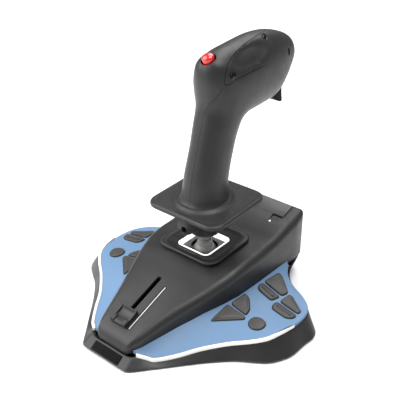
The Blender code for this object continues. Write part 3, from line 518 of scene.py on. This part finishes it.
def square(half_x, half_y, corner, centre_y, z, pitch=0.0):
    """A rectangular loop with round corners, which may rise towards the rear."""
    loop = []
    for quarter in range(4):
        sign_x = 1 if quarter in (0, 3) else -1
        sign_y = 1 if quarter in (0, 1) else -1
        for step in range(CORNER_STEPS + 1):
            angle = math.pi / 2 * (quarter + step / CORNER_STEPS)
            x = sign_x * (half_x - corner) + corner * math.cos(angle)
            y = sign_y * (half_y - corner) + corner * math.sin(angle)
            loop.append((x, centre_y + y, z + y * pitch))
    return loop


def mirrored(points):
    return [(-point[0], *point[1:]) for point in points]


def piece(obj, body, slot, *nodes, look=None, angle=32):
    """Finishes a piece: smooth faces between its sharp edges, its material, its body and the nodes it stands for."""
    shape = bmesh.new()
    shape.from_mesh(obj.data)
    bmesh.ops.dissolve_degenerate(shape, dist=2e-7, edges=shape.edges)
    bmesh.ops.triangulate(shape, faces=[face for face in shape.faces if len(face.verts) > 4])
    shape.to_mesh(obj.data)
    shape.free()
    obj.data.shade_smooth()
    obj.data.set_sharp_from_angle(angle=math.radians(angle))
    obj.data.materials.clear()
    obj.data.materials.append(LOOKS[look or slot])
    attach(obj, body)
    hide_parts(*nodes)
    return obj


# ---------------------------------------------------------------- base


def whole_loop(half):
    return list(half) + mirrored(list(half)[-2:0:-1])


def rim_curve():
    return smooth([row[:5] for row in RIM], RIM_STEPS)


def rim_loop(share, inset, drop=0.0):
    """A loop on the skirt's wall, at a share of its height, moved inwards and down."""
    rows = rim_curve()
    flat = [(r[0] + (r[2] - r[0]) * share, r[1] + (r[3] - r[1]) * share) for r in rows]
    flat = grown(whole_loop(flat), -inset)
    heights = whole_loop([(0, r[4] * share) for r in rows])
    return [(x, y, height[1] - drop) for (x, y), height in zip(flat, heights)]


def make_skirt():
    loops = [
        rim_loop(0, 2.4), rim_loop(0, 0.7), rim_loop(0.04, 0.12), rim_loop(0.12, 0.0), rim_loop(0.3, -0.05),
        rim_loop(0.5, -0.05), rim_loop(0.7, 0.0), rim_loop(0.93, 0.0), rim_loop(0.98, 0.12), rim_loop(1.0, 0.45),
        rim_loop(1.0, 2.4, 0.9),
    ]
    piece(loft("skirt_skin", loops, ring=True), "base", "dark_plastic", "base_skirt")


def housing_half(y):
    return between(SECTIONS, y, 1)


def top_height(x, y):
    """The height of the housing's top."""
    shoulder = housing_half(y) - between(SECTIONS, y, 4)
    share = min(1.0, abs(x) / shoulder)
    middle = between(SECTIONS, y, 3)
    return middle + (between(SECTIONS, y, 2) - middle) * share**2


def housing_section(row, wall=0.0, foot=None):
    """The housing's outline across, or its inside when a wall is given."""
    y, half, shoulder, middle, radius, bottom = row
    half -= wall
    radius = max(0.8, radius - wall)
    bottom = bottom if foot is None else foot
    right = [(half, y, bottom)]
    side_top = shoulder - wall - radius
    right += [(half, y, bottom + (side_top - bottom) * k / 4) for k in (1, 2, 3, 4)]
    for step in range(1, 9):
        turn = math.pi / 2 * step / 8
        right.append((half - radius * (1 - math.cos(turn)), y, side_top + radius * math.sin(turn)))
    for k in range(7, 0, -1):
        share = k / 8
        right.append(((half - radius) * share, y, middle + (shoulder - middle) * share**2 - wall))
    return right + [(0, y, middle - wall)] + mirrored(right[::-1])


def make_housing():
    rows = smooth(SECTIONS, 4)
    housing = loft("housing_skin", [housing_section(row) for row in rows])
    hollow = [row for row in rows if 20 < row[0] < 217]
    inside = [housing_section(row, WALL if row[0] < REAR_WALL_Y else REAR_WALL, -5) for row in hollow]
    combine(housing, loft("inside", inside))
    combine(housing, loft("bezel_hole", [
        square(NECK_HALF + 0.4, NECK_HALF + 0.4, 10.4, BEZEL_Y, z) for z in (30, 74)
    ]))
    sides = ((-1, 0), (1, 0), (1, 1), (-1, 1))
    slot = rounded([(THROTTLE_X + sx * SLOT_HALF, SLOT_Y[k]) for sx, k in sides], SLOT_HALF)
    combine(housing, prism("slot", slot, 5, 60))
    combine(housing, strip("groove", SCALE_X, 1.5, SCALE_Y, -1.2, 2))
    floor, (end_y, end_z) = recess_floor(), RECESS_END
    recess = [(RECESS_Y, floor - 1), (RECESS_Y, 75), (end_y, 75), (end_y, end_z), (204, floor + 0.5), (204, floor - 1)]
    combine(housing, side_prism("recess", recess, -41.5, 41.5))
    lamp = led_place()
    shade = [(lamp.x - 1.1, lamp.y - 1), (lamp.x + 6.5, lamp.y - 3.2), (lamp.x + 8, 202), (lamp.x - 3.5, 202)]
    low, high = top_height(lamp.x, lamp.y) - 0.25, top_height(lamp.x, 202)
    loops = [[(x, y, low + (y - lamp.y) * 0.02) for x, y in grown(rounded(shade, 1.6), 0)],
             [(x, y, high + 4) for x, y in grown(rounded(shade, 1.6), 1.2)]]
    combine(housing, loft("shade", loops))
    combine(housing, turned("lamp_hole", ((1.1, -4), (1.1, 4)), lamp, sides=24))
    socket = rounded([(-5.2, 37.6), (5.2, 37.6), (5.2, 42.4), (-5.2, 42.4)], 1.4)
    combine(housing, loft("socket_opening", [[(x, y, z) for x, z in socket] for y in (210, 230)]))
    piece(housing, "base", "dark_plastic", "center_housing", angle=28)


def recess_floor():
    """The height of the rear recess at its front edge."""
    return top_height(0, RECESS_Y) - RECESS_DEPTH


def led_place():
    return Vector((*LED, top_height(*LED)))


def strip(name, x, half, span, low, high):
    """A strip that follows the housing's top along Y, between two heights above it."""
    loops = []
    for step in range(STRIP_STEPS + 1):
        y = span[0] + (span[1] - span[0]) * step / STRIP_STEPS
        corners = ((x - half, low), (x + half, low), (x + half, high), (x - half, high))
        loops.append([(side, y, top_height(x, y) + level) for side, level in corners])
    return loft(name, loops)


def make_labels():
    """The blank plates, the scale beside the slider and the status lamp."""
    lie = math.atan2(6.5, 9.5)
    along = Vector((0, math.cos(lie), math.sin(lie)))
    up = Vector((0, -math.sin(lie), math.cos(lie)))
    start = along * 1.6 + up * GAP
    loops = []
    for x in (-16, 16):
        loops.append([
            start + Vector((x, 0, 0)) + along * s + up * h for s, h in ((0, 0), (8.6, 0), (8.6, 0.6), (0, 0.6))
        ])
    piece(eased(loft("front_plate_skin", loops), 0.25), "base", "black_gloss", "front_nameplate")
    low, (end_y, end_z) = recess_floor(), RECESS_END
    rise = (end_z - low) / (end_y - RECESS_Y)
    plate = [(204.2, low + 2.7 * rise + GAP), (220.6, low + 19.1 * rise + GAP)]
    plate += [(y, z + 0.6) for y, z in reversed(plate)]
    plate = eased(side_prism("rear_plate_skin", plate, -38, 38), 0.25)
    piece(plate, "base", "black_gloss", "rear_nameplate", look="plate_satin")
    scale = strip("scale_skin", SCALE_X - 0.1, 0.4, (SCALE_Y[0] + 1, SCALE_Y[1] - 0.5), -0.8, -0.05)
    piece(scale, "base", "light_white", "throttle_scale", look="scale_line")
    lamp = turned("lamp_skin", ((0.85, -2.6), (0.85, 0.1), (0.7, 0.3), (0.4, 0.4)), led_place(), sides=32)
    piece(lamp, "base", "light_white", "status_led")


def along_slope(start, x, s, h):
    """A point on the throttle: across, along the housing's slope and up from it."""
    return start + Vector((x, s * math.cos(SLOPE) - h * math.sin(SLOPE), s * math.sin(SLOPE) + h * math.cos(SLOPE)))


def make_throttle():
    """The knob: two pads at its front, a hollow between them, side walls and a rib at its far end."""
    start = Vector((THROTTLE_X, THROTTLE_Y[0], top_height(0, THROTTLE_Y[0])))
    length = (THROTTLE_Y[1] - THROTTLE_Y[0]) / math.cos(SLOPE)
    crest = [(0.4, 2.6), (1.6, 3.1), (4, 2.9), (7.5, 1.9), (11, 1.8), (length - 3.6, 2.5), (length - 1.9, 3.9)]
    top = smooth(crest, 5)
    profile = [(0, 0.7), (0, 2.2)] + top + [(length - 1.3, 4.4), (length - 0.5, 4.4), (length, 3.6), (length, 0.7)]
    loops = [[along_slope(start, x, s, h) for s, h in profile] for x in (-THROTTLE_HALF, THROTTLE_HALF)]
    knob = loft("throttle_skin", loops)
    for side in (-1, 1):
        pad = [(0.25, 1.2), (0.25, 3.5), (0.9, 4.1), (5.4, 4.0), (6.6, 3.2), (7.2, 1.2)]
        x = side * (THROTTLE_HALF - 2.1)
        loops = [[along_slope(start, x + dx, s, h) for s, h in pad] for dx in (-2.0, 2.0)]
        combine(knob, loft("pad", loops), "UNION")
    wall = [(6, 1.0), (6, 3.0), (length - 2, 3.9), (length - 1, 1.0)]
    for side in (-1, 1):
        x = side * (THROTTLE_HALF - 0.65)
        loops = [[along_slope(start, x + dx, s, h) for s, h in wall] for dx in (-0.6, 0.6)]
        combine(knob, loft("wall", loops), "UNION")
    piece(knob, "throttle", "button_plastic", "throttle_knob", look="dark_plastic")


# ---------------------------------------------------------------- wings


def wing_rows():
    """Rows along the right wing: the rim's top and the place of the root."""
    return smooth([row[2:6] for row in RIM[FIRST_WING_ROW:LAST_WING_ROW + 1]], RIM_STEPS)


def edge_inset(share):
    """How far in from the rim the wing ends: behind the stripe, close to the edge, then behind the skirt."""
    stripe_end = (LAST_STRIPE_ROW - FIRST_WING_ROW) / (LAST_WING_ROW - FIRST_WING_ROW)
    table = ((0, 2.5), (stripe_end - 0.03, 2.5), (stripe_end + 0.01, 0.3), (0.8, 0.3), (1, 3.2))
    return between(table, share)


def inward(rows, i):
    """The direction into the base at a rim row."""
    before = rows[max(i - 1, 0)]
    after = rows[min(i + 1, len(rows) - 1)]
    along = Vector((after[0] - before[0], after[1] - before[1])).normalized()
    return Vector((-along.y, along.x))


def wing_line(rows, i, sink):
    """One row of the wing's surface from its rounded edge to its root, or of its underside when sunk."""
    x, y, z, root_y = rows[i]
    edge = Vector((x, y)) + inward(rows, i) * edge_inset(i / (len(rows) - 1))
    root = Vector((housing_half(root_y) + 0.45, root_y))
    root_z = between(ROOT_HEIGHT, root_y)
    line = []
    shares = (0, 0.004, 0.012, 0.025, 0.06, 0.12, 0.2, 0.3, 0.4, 0.5, 0.6, 0.7, 0.8, 0.9, 1)
    falls = (0.6, 0.28, 0.08) + (0,) * 12
    for share, fall in zip(shares, falls):
        spot = edge.lerp(root, share)
        height = z + GAP + PANEL + (root_z - z - GAP - PANEL) * share**2
        line.append((spot.x, spot.y, height - (sink or fall)))
    return line


def wing_solid(name, flip):
    """The wing panel, from its top and underside."""
    rows = wing_rows()
    top = [wing_line(rows, i, 0) for i in range(len(rows))]
    bottom = [wing_line(rows, i, PANEL) for i in range(len(rows))]
    if flip:
        top = [mirrored(line) for line in top]
        bottom = [mirrored(line) for line in bottom]
    columns = len(top[0])
    points = [p for line in top for p in line] + [p for line in bottom for p in line]
    below = len(top) * columns
    faces = []
    for i in range(len(top) - 1):
        for j in range(columns - 1):
            a = i * columns + j
            faces.append((a, a + 1, a + columns + 1, a + columns))
            faces.append((below + a, below + a + columns, below + a + columns + 1, below + a + 1))
    border = list(range(columns)) + [i * columns + columns - 1 for i in range(1, len(top))]
    border += [(len(top) - 1) * columns + j for j in range(columns - 2, -1, -1)]
    border += [i * columns for i in range(len(top) - 2, 0, -1)]
    for a, b in zip(border, border[1:] + border[:1]):
        faces.append((a, b, below + b, below + a))
    return make(name, points, faces)


def surface_heights(panel):
    """A function that gives the panel's height at a place."""
    tree = BVHTree.FromPolygons([v.co for v in panel.data.vertices], [p.vertices for p in panel.data.polygons])

    def height(x, y):
        spot = world((x, y, 100))
        hit = tree.ray_cast(spot, Vector((0, 0, -1)))[0]
        if hit is None:
            hit = tree.find_nearest(world((x, y, 22)))[0]
        return hit.z / MM - FOOT

    return height


def button_outlines():
    outlines = {name: rounded(corners, radius) for name, (corners, radius) in WING_BUTTONS.items()}
    (x, y), radius = ROUND_BUTTON
    outlines["round"] = [
        (x + radius * math.cos(math.tau * i / 48), y + radius * math.sin(math.tau * i / 48)) for i in range(48)
    ]
    return outlines


def make_button(name, outline, height):
    """A crowned cap that follows the wing, on a stem with a flange under the panel."""
    centre = Vector((sum(x for x, _ in outline) / len(outline), sum(y for _, y in outline) / len(outline)))
    stop = min(height(x, y) for x, y in outline) - PANEL - 0.5
    flange = grown(outline, 0.7)
    loops = [[(x, y, stop - 1.3) for x, y in flange], [(x, y, stop) for x, y in flange]]
    loops.append([(x, y, stop) for x, y in outline])
    for inset, rise in ((0, 0.0), (0, BUTTON_PROUD - 0.9), (0.12, BUTTON_PROUD - 0.5), (0.4, BUTTON_PROUD - 0.17),
                        (0.9, BUTTON_PROUD), (1.5, BUTTON_PROUD + 0.02)):
        ring = grown(outline, -inset)
        loops.append([(x, y, height(*spot) + rise) for (x, y), spot in zip(ring, outline)])
    crown = grown(outline, -1.5)
    for share, rise in ((0.8, 0.2), (0.5, 0.38), (0.25, 0.46), (0.05, 0.48)):
        ring = [tuple(centre + (Vector(p) - centre) * share) for p in crown]
        loops.append([(x, y, height(x, y) + BUTTON_PROUD + rise) for x, y in ring])
    return loft(name, loops)


def make_bar(start, end, height):
    """The raised bar on a key, between two places."""
    start, end = Vector(start), Vector(end)
    along = (end - start).normalized()
    across = Vector((-along.y, along.x))
    loops = []
    for half, low in ((1.25, -1.0), (1.2, 0.75), (0.9, 1.0), (0.4, 1.1)):
        corners = [start - along * half - across * half, end + along * half - across * half,
                   end + along * half + across * half, start - along * half + across * half]
        loops.append([(x, y, height(x, y) + BUTTON_PROUD + low) for x, y in rounded(corners, half * 0.9, 4)])
    return loft("bar", loops)


def make_wing(side, flip):
    """A wing panel with its seven buttons and the stripe along its front rim."""
    panel = wing_solid(f"wing_skin_{side}", flip)
    height = surface_heights(panel)
    for place, outline in button_outlines().items():
        outline = mirrored(outline) if flip else outline
        button = make_button(f"key_skin_{side}_{place}", outline, height)
        if place in KEY_BARS:
            ends = mirrored(KEY_BARS[place]) if flip else KEY_BARS[place]
            combine(button, make_bar(*ends, height), "UNION")
        piece(button, f"key_{side}_{place}", "button_plastic", f"button_{side}_{place}")
        combine(panel, prism("hole", grown(outline, 0.45), 8, 40))
    piece(panel, "base", "blue_plastic", f"wing_panel_{side}", angle=25)
    rows = wing_rows()
    last = round((LAST_STRIPE_ROW - FIRST_WING_ROW) * RIM_STEPS)
    loops = []
    for i in range(last + 1):
        x, y, z = rows[i][:3]
        width = STRIPE_WIDTH * min(1.0, (last - i) / 14 + 0.12)
        base, top = z + GAP, z + GAP + PANEL
        loop = []
        for inset, level in (
            (0, base), (0, top - 0.5), (0.15, top - 0.1), (0.5, top + 0.15), (width * 0.7, top + 0.18),
            (width, top), (width, base),
        ):
            spot = Vector((x, y)) + inward(rows, i) * min(inset, width)
            loop.append((spot.x, spot.y, level))
        loops.append(mirrored(loop) if flip else loop)
    piece(loft(f"stripe_skin_{side}", loops), "base", "stripe_white", f"wing_stripe_{side}")


# ---------------------------------------------------------------- gimbal and stick


def frame_loop(half_x, half_y, corner, centre_y, z):
    """A loop in the bezel's pitched plane, whose height is given at the bezel's middle."""
    return square(half_x, half_y, corner, centre_y, z + (centre_y - BEZEL_Y) * FRAME_PITCH, FRAME_PITCH)


def make_bezel():
    """The raised frame round the opening, the light ring in it and the cover plate."""
    y = BEZEL_Y
    loops = [frame_loop(*row) for row in (
        (29.6, 29.6, 10, y, 42), (29.6, 29.6, 10, y, 53.6), (32.9, 31.1, 12, y, 53.6), (33.2, 31.4, 12, y, 53.8),
        (33.3, 31.5, 12, y, 54.2), (33.25, 31.45, 12, y, 54.7), (33.0, 31.2, 11.9, y, 55.15),
        (32.5, 30.7, 11.6, y, 55.5), (31.8, 30.0, 11.2, y, 55.65), (30.8, 29.0, 10.8, y, 55.7),
        (29.2, 27.6, 10, y, 55.65), (28.0, 26.5, 9.4, y, 55.45), (27.0, 25.6, 8.9, 133.1, 55.1),
        (25.6, 24.6, 8.4, 132.9, 54.6), (23, 22.4, 7.4, 132.5, 54.0), (20.6, 20.4, 6.4, 132.0, 53.5),
        (19.2, 19.2, 5.9, RING_Y, 53.25), (18.7, 18.7, 5.7, RING_Y, 53.1), (18.6, 18.6, 5.6, RING_Y, 52.8),
        (18.6, 18.6, 5.6, RING_Y, 47), (24, 24, 8, 132.5, 46), (26.3, 26.3, 8, y, 42),
    )]
    piece(loft("bezel_skin", loops, ring=True), "base", "dark_plastic", "gimbal_bezel")
    ring = []
    for inset, z in (
        (0, 46), (0, RING_TOP - 0.4), (0.12, RING_TOP - 0.12), (0.4, RING_TOP), (RING_BAND - 0.4, RING_TOP),
        (RING_BAND - 0.12, RING_TOP - 0.12), (RING_BAND, RING_TOP - 0.4), (RING_BAND, 46),
    ):
        ring.append(frame_loop(RING_HALF - inset, RING_HALF - inset, 5.2 - inset, RING_Y, z))
    piece(loft("ring_skin", ring, ring=True), "base", "light_white", "light_ring")
    half = RING_HALF - RING_BAND - GAP
    cover = loft("cover_skin", [frame_loop(half - i, half - i, 3.5, RING_Y, COVER_TOP - drop) for i, drop in (
        (0, 1.5), (0, 0.3), (0.1, 0.1), (0.35, 0))])
    combine(cover, turned("opening", (
        (OPENING_RADIUS, -6), (OPENING_RADIUS, -0.35), (OPENING_RADIUS + 0.4, 0.1), (OPENING_RADIUS + 3, 2.6),
    ), (0, OPENING_Y, COVER_TOP)))
    piece(cover, "base", "dome_plastic", "pivot_cover", look="cover_plate")


def make_stick():
    """Dome, shaft, collar and the collar's screw."""
    origin = tuple(PIVOT)
    bore = SHAFT_RADIUS + GAP
    flare = [(bore, 18.6), (bore + 0.5, 18.5), (bore + 0.8, 17.4), (bore + 1.5, 15.6)]
    outer, inner = [], []
    for step in range(19):
        angle = math.radians(40 + 50 * step / 18)
        outer.append((DOME_RADIUS * math.sin(angle), DOME_RISE + DOME_RADIUS * math.cos(angle)))
        inner.append(((DOME_RADIUS - 1.2) * math.sin(angle), DOME_RISE + (DOME_RADIUS - 1.2) * math.cos(angle)))
    dome = turned("dome_skin", flare + outer + inner[::-1] + [(bore, 11.5)], origin, ring=True)
    piece(dome, "stick", "dome_plastic", "dust_dome")
    shaft = turned("shaft_skin", (
        (4, -13), (4, -6), (7.5, -5), (7.5, 5), (6.2, 5.6), (SHAFT_RADIUS, 6.5), (SHAFT_RADIUS, 24),
        (SHAFT_RADIUS + 0.5, 26), (BEARING_RADIUS - 0.4, 28.5), (BEARING_RADIUS, 29.5), (BEARING_RADIUS, 81),
        (5.5, 82.5),
    ), origin)
    piece(shaft, "stick", "steel", "stick_shaft", look="shaft")
    bore = BEARING_RADIUS + GAP
    profile = smooth(
        [(12.6, 64.2), (13.7, 64.6), (14.3, 65.6), (14.9, 68), (15.6, 71), (17.2, 78), (19.6, 85), (21, 90)], 4
    )
    collar = turned(
        "collar_skin",
        [(bore, 66.5), (bore + 1.5, 65.4), (11, 64.2)] + profile + [(20.8, COLLAR_TOP), (bore, COLLAR_TOP)],
        (0, PIVOT.y, 0), ring=True,
    )
    lug = rounded([(101.8, 77), (104.2, 74.2), (122, 72), (122, 88.5), (104, 88.5), (101.8, 86.5)], 1.6, 4)
    combine(collar, eased(side_prism("lug", lug, -5.6, 5.6), 0.8), "UNION")
    place = (2.2, 101, 79.6)
    combine(collar, turned("screw_hole", ((3.1, -2), (3.1, 9)), place, (0, 1, 0), 40))
    piece(collar, "stick", "dark_plastic", "shaft_collar")
    screw = make_screw("collar_screw_skin", (place[0], 109.2, place[2]), (0, -1, 0), 2.7, 4.7)
    piece(screw, "stick", "steel", "collar_screw", look="black_screw")


def make_screw(name, base, axis, radius, height):
    """A screw head with an eased edge and a hexagon socket."""
    r = radius
    head = turned(name, (
        (r, 0), (r, height - 0.6), (r - 0.12, height - 0.25), (r - 0.4, height - 0.06), (r - 0.75, height),
        (r * 0.62, height),
    ), base, axis, 36)
    socket = turned("socket", ((r * 0.52, height * 0.45), (r * 0.52, height + 1)), base, axis, 6)
    return combine(head, socket)


# ---------------------------------------------------------------- grip


def grip_loop(row, shrink=0.0, covering=False):
    """One section of the grip; a covering one stands out on the right as the thumb cover does."""
    near, far, half = Vector(row[:2]), Vector(row[2:4]), row[4] - shrink
    middle = (near + far) / 2
    reach = (near - middle) * (1 - shrink / (near - middle).length)
    loop = []
    for i in range(GRIP_SIDES):
        angle = math.tau * i / GRIP_SIDES
        along, across = math.cos(angle), math.sin(angle)
        along = math.copysign(abs(along) ** (2 / GRIP_SQUARE), along)
        across = math.copysign(abs(across) ** (2 / GRIP_SQUARE), across)
        spot = middle + reach * along
        point = Vector((half * across, spot.x, spot.y))
        if covering and point.x > 0:
            point += cover_rise(point) * outward()
        loop.append(point)
    return loop


def outward():
    """The direction in which the thumb cover faces."""
    return Vector((math.cos(THUMB_TILT), 0, math.sin(THUMB_TILT)))


def eased_share(value):
    """A share from 0 to 1 that starts and ends gently."""
    value = min(1.0, max(0.0, value))
    return value * value * (3 - 2 * value)


def cover_rise(point):
    """How far the thumb cover stands out from the head: proud along its lower edge, with an oval hollow."""
    u, v = point.y, point.z * math.cos(THUMB_TILT) - point.x * math.sin(THUMB_TILT)
    rise = 0.75 + 1.9 * eased_share((u - 140) / 42) * eased_share((188 - v) / 17)
    du, dv = u - DISH_MIDDLE[0], v - DISH_MIDDLE[1]
    p = (du * math.cos(DISH_TURN) + dv * math.sin(DISH_TURN)) / DISH_HALF[0]
    q = (dv * math.cos(DISH_TURN) - du * math.sin(DISH_TURN)) / DISH_HALF[1]
    return rise - DISH_DEPTH * eased_share((1 - math.hypot(p, q)) / 0.26)


def grip_body(name, shrink=0.0, covering=False):
    """The grip's closed outer form, with a rounded nose."""
    rows = smooth(GRIP, GRIP_STEPS)
    loops = [grip_loop(row, shrink, covering) for row in rows]
    last = GRIP[-1]
    nose = []
    for grow, size in ((0.55, 0.8), (0.85, 0.5), (0.95, 0.22)):
        near, far = Vector(last[:2]), Vector(last[2:4])
        middle = (near + far) / 2 + Vector((0.92, -0.38)) * grow
        reach = (near - far) / 2 * size
        nose.append(grip_loop((*(middle + reach), *(middle - reach), last[4] * size), shrink * size))
    return loft(name, loops + nose)


def palm_rest(name):
    """The square palm rest: eased edge, a fine groove inside it and a low swell round the grip's foot."""
    hx, hy = PALM_HALF
    rows = [
        (4.1, -5.0, 11), (1.6, -4.7, 12), (0.5, -4.1, 12.2), (0, -3.2, 12.4), (0, -1.9, 12.4), (0.35, -1.0, 12.4),
        (1.0, -0.35, 12.4), (2.0, 0.0, 12.4), (3.0, 0.0, 12.4), (3.5, -0.12, 12.4), (4.0, -0.12, 12.6), (4.6, 0.0, 13),
        (6.5, 0.15, 14),
    ]
    loops = [square(hx - i, hy - i, corner, PALM_Y, PALM_TOP + rise, PALM_PITCH) for i, rise, corner in rows]
    for half_x, half_y, rise in (
        (30, 30, 0.2), (28, 28.4, 0.4), (26.6, 27, 0.8), (25.4, 25.8, 1.5), (24.2, 24.8, 2.4), (22, 23, 2.9)
    ):
        corner = min(half_x, half_y) * 0.97
        loops.append(square(half_x, half_y, corner, 131, PALM_TOP + rise + (131 - PALM_Y) * PALM_PITCH, PALM_PITCH))
    return loft(name, loops)


def seam_region(name, shift):
    """The right shell's side of the parting line, which leaves the middle plane for the thumb cover's tip."""
    path = smooth([(0.5, 60), (0.5, 150), (0.6, 172), (1.3, 180), (5.6, 188.3), (10.5, 194), (14, 199), (16.5, 206),
                   (17.5, 209), (30, 209)], 5)
    outline = [(x + shift, z) for x, z in path] + [(60, 209), (60, 60)]
    region = loft(name, [[(x, y, z) for x, z in outline] for y in (60, 152)])
    low = [[(x, y, z) for x, z in ((shift, 60), (60, 60), (60, 201), (shift, 201))] for y in (151, 300)]
    combine(region, loft("low", low), "UNION")
    top = [(13.5, 151), (11, 170), (9.5, 185), (8.4, 197), (7, 203), (0, 214), (0, 300), (60, 300), (60, 151)]
    return combine(region, prism("top", [(x + shift, y) for x, y in top], 200, 262), "UNION")


def thumb_prism(name, shrink):
    """The thumb cover's outline carried along the direction in which it faces."""
    outline = grown(smooth(THUMB_OUTLINE, 5, closed=True), -shrink)
    up = Vector((-math.sin(THUMB_TILT), 0, math.cos(THUMB_TILT)))
    along = Vector((0, 1, 0))
    return loft(name, [[along * u + up * v + outward() * s for u, v in outline] for s in (112, 150)])


def make_grip():
    """The two shells with the palm rest, parted along the seam, and the thumb cover."""
    body = grip_body("grip_body")
    combine(body, palm_rest("palm"), "UNION")
    combine(body, turned("shaft_bore", ((7.6, 60), (7.6, 99)), (0, PIVOT.y, 0)))
    r = RED_RADIUS + 1.3
    combine(body, turned("red_recess", ((r, -9), (r, -0.3), (r + 0.5, 0.5), (r + 4, 6)), RED_BUTTON, RED_AXIS, 48))
    slot = rounded([(217.5, 150), (243.5, 150), (243.5, 188), (219.5, 188)], 2)
    combine(body, side_prism("trigger_slot", slot, -TRIGGER_HALF - 0.5, TRIGGER_HALF + 0.5))
    pocket = thumb_prism("pocket", 0)
    combine(pocket, grip_body("pocket_floor", THUMB_INSET + 0.3))
    combine(body, pocket)
    y, z = NOSE_HOLE
    hole = rounded([(y - 1.6, z - 3.4), (y + 1.6, z - 3.4), (y + 1.6, z + 3.4), (y - 1.6, z + 3.4)], 1.5)
    combine(body, side_prism("nose_hole", hole, 11, 26))
    right = copy_of(body, "grip_skin_right")
    combine(right, seam_region("right_side", 0.1), "INTERSECT")
    body.name = "grip_skin_left"
    combine(body, seam_region("right_side", -0.1))
    piece(body, "grip", "dark_plastic", "grip_left_shell", angle=38)
    piece(right, "grip", "dark_plastic", "grip_right_shell", angle=38)
    make_thumb_cover()


def make_thumb_cover():
    """The leaf-shaped cover and its two screws."""
    cover = grip_body("thumb_skin", covering=True)
    combine(cover, thumb_prism("thumb_outline", 0.5), "INTERSECT")
    combine(cover, grip_body("cover_back", THUMB_INSET))
    eased(cover, 0.7, 3, 40)
    for i, (place, axis, lift) in enumerate(COVER_SCREWS):
        if i:
            boss = ((3.7, -3), (3.7, lift - 0.5), (3.55, lift - 0.2), (3.2, lift))
            combine(cover, turned("boss", boss, place, axis, 40), "UNION")
        profile = ((2.2, -4), (2.2, lift - 0.9), (3.1, lift - 0.5), (3.2, 5))
        combine(cover, turned("screw_hole", profile, place, axis, 40))
        base = Vector(place) + Vector(axis).normalized() * (lift - 1.3)
        screw = make_screw(f"cover_screw_skin_{i + 1}", base, axis, 1.9, 1.25)
        piece(screw, "grip", "steel", f"cover_screw_{i + 1}", look="black_screw")
    piece(cover, "grip", "dark_plastic", "thumb_cover", angle=38)


def make_controls():
    """The red button and the trigger."""
    r = RED_RADIUS
    dome = [(r * math.cos(a), 1.7 + 2.7 * math.sin(a)) for a in (math.radians(9 * k) for k in range(1, 10))]
    red = turned("red_skin", [(r, -6), (r, 0.9)] + [(r, 1.7)] + dome, RED_BUTTON, RED_AXIS, 56)
    piece(red, "thumb_button", "red_gloss", "red_button")
    corners = [
        (221.6, 174.5), (224.6, 169.6), (230.7, 163.6), (237.3, 160.1), (240.2, 159.6), (241.4, 161), (240.6, 165),
        (239.9, 170), (239.4, 176), (237, 184), (226, 185.5), (222, 180),
    ]
    outline = smooth(corners, 4, closed=True)
    trigger = eased(side_prism("trigger_skin", outline, -TRIGGER_HALF, TRIGGER_HALF), 0.9, 4, 50)
    piece(trigger, "trigger_lever", "black_gloss", "trigger")


# ---------------------------------------------------------------- CAD pieces that stay, stage, light and camera


def finish_cad_nodes():
    """Gives each CAD node that still shows its procedural material."""
    slots = {entry["node"]: entry["material_slot"] for entry in frame["record"]["subparts"]}
    for name, node in frame["nodes"].items():
        if node.hide_render:
            continue
        node.data.materials.clear()
        node.data.materials.append(LOOKS[slots[name]])


def make_stage():
    mesh = bpy.data.meshes.new("floor")
    corners = [(sx * FLOOR_HALF, sy * FLOOR_HALF, 0) for sx, sy in ((-1, -1), (1, -1), (1, 1), (-1, 1))]
    mesh.from_pydata(corners, [], [(0, 1, 2, 3)])
    floor = link("floor", mesh)
    floor.location.z = -FLOOR_DROP
    look = moulded("floor_paint", FLOOR_COLOUR, 0.9, vary=0.004, grain=300.0, depth=0.01, specular=0.1)
    mesh.materials.append(look)
    bpy.context.scene.view_settings.view_transform = "Standard"
    world_light = bpy.data.worlds.new("studio")
    world_light.use_nodes = True
    background = world_light.node_tree.nodes["Background"]
    background.inputs["Color"].default_value = (1.0, 1.0, 1.0, 1)
    background.inputs["Strength"].default_value = WORLD_STRENGTH
    bpy.context.scene.world = world_light


def direction(azimuth, elevation):
    """The direction from the joystick towards a light or the camera."""
    a, e = math.radians(azimuth), math.radians(elevation)
    return Vector((math.sin(a) * math.cos(e), -math.cos(a) * math.cos(e), math.sin(e)))


def put(name, data, place, back):
    """Adds a light or a camera that looks along the opposite of `back`."""
    obj = link(name, data)
    obj.location = place
    obj.rotation_mode = "QUATERNION"
    obj.rotation_quaternion = back.to_track_quat("Z", "Y")
    return obj


def area_light(name, azimuth, elevation, distance, size, power):
    """A square soft light that faces the joystick."""
    back = direction(azimuth, elevation)
    data = bpy.data.lights.new(name, "AREA")
    data.size = size
    data.energy = power
    put(name, data, LIGHT_AIM + back * distance, back)


def make_camera():
    back = direction(CAMERA_AZIMUTH, CAMERA_ELEVATION)
    data = bpy.data.cameras.new("camera")
    data.sensor_width = 36
    data.lens = CAMERA_LENS
    camera = put("camera", data, world(CAMERA_PLACE), back)
    bpy.context.scene.camera = camera


make_skirt()
make_housing()
make_labels()
make_throttle()
make_wing("right", False)
make_wing("left", True)
make_bezel()
make_stick()
make_grip()
make_controls()
finish_cad_nodes()
make_stage()
for light in LIGHTS:
    area_light(*light)
make_camera()
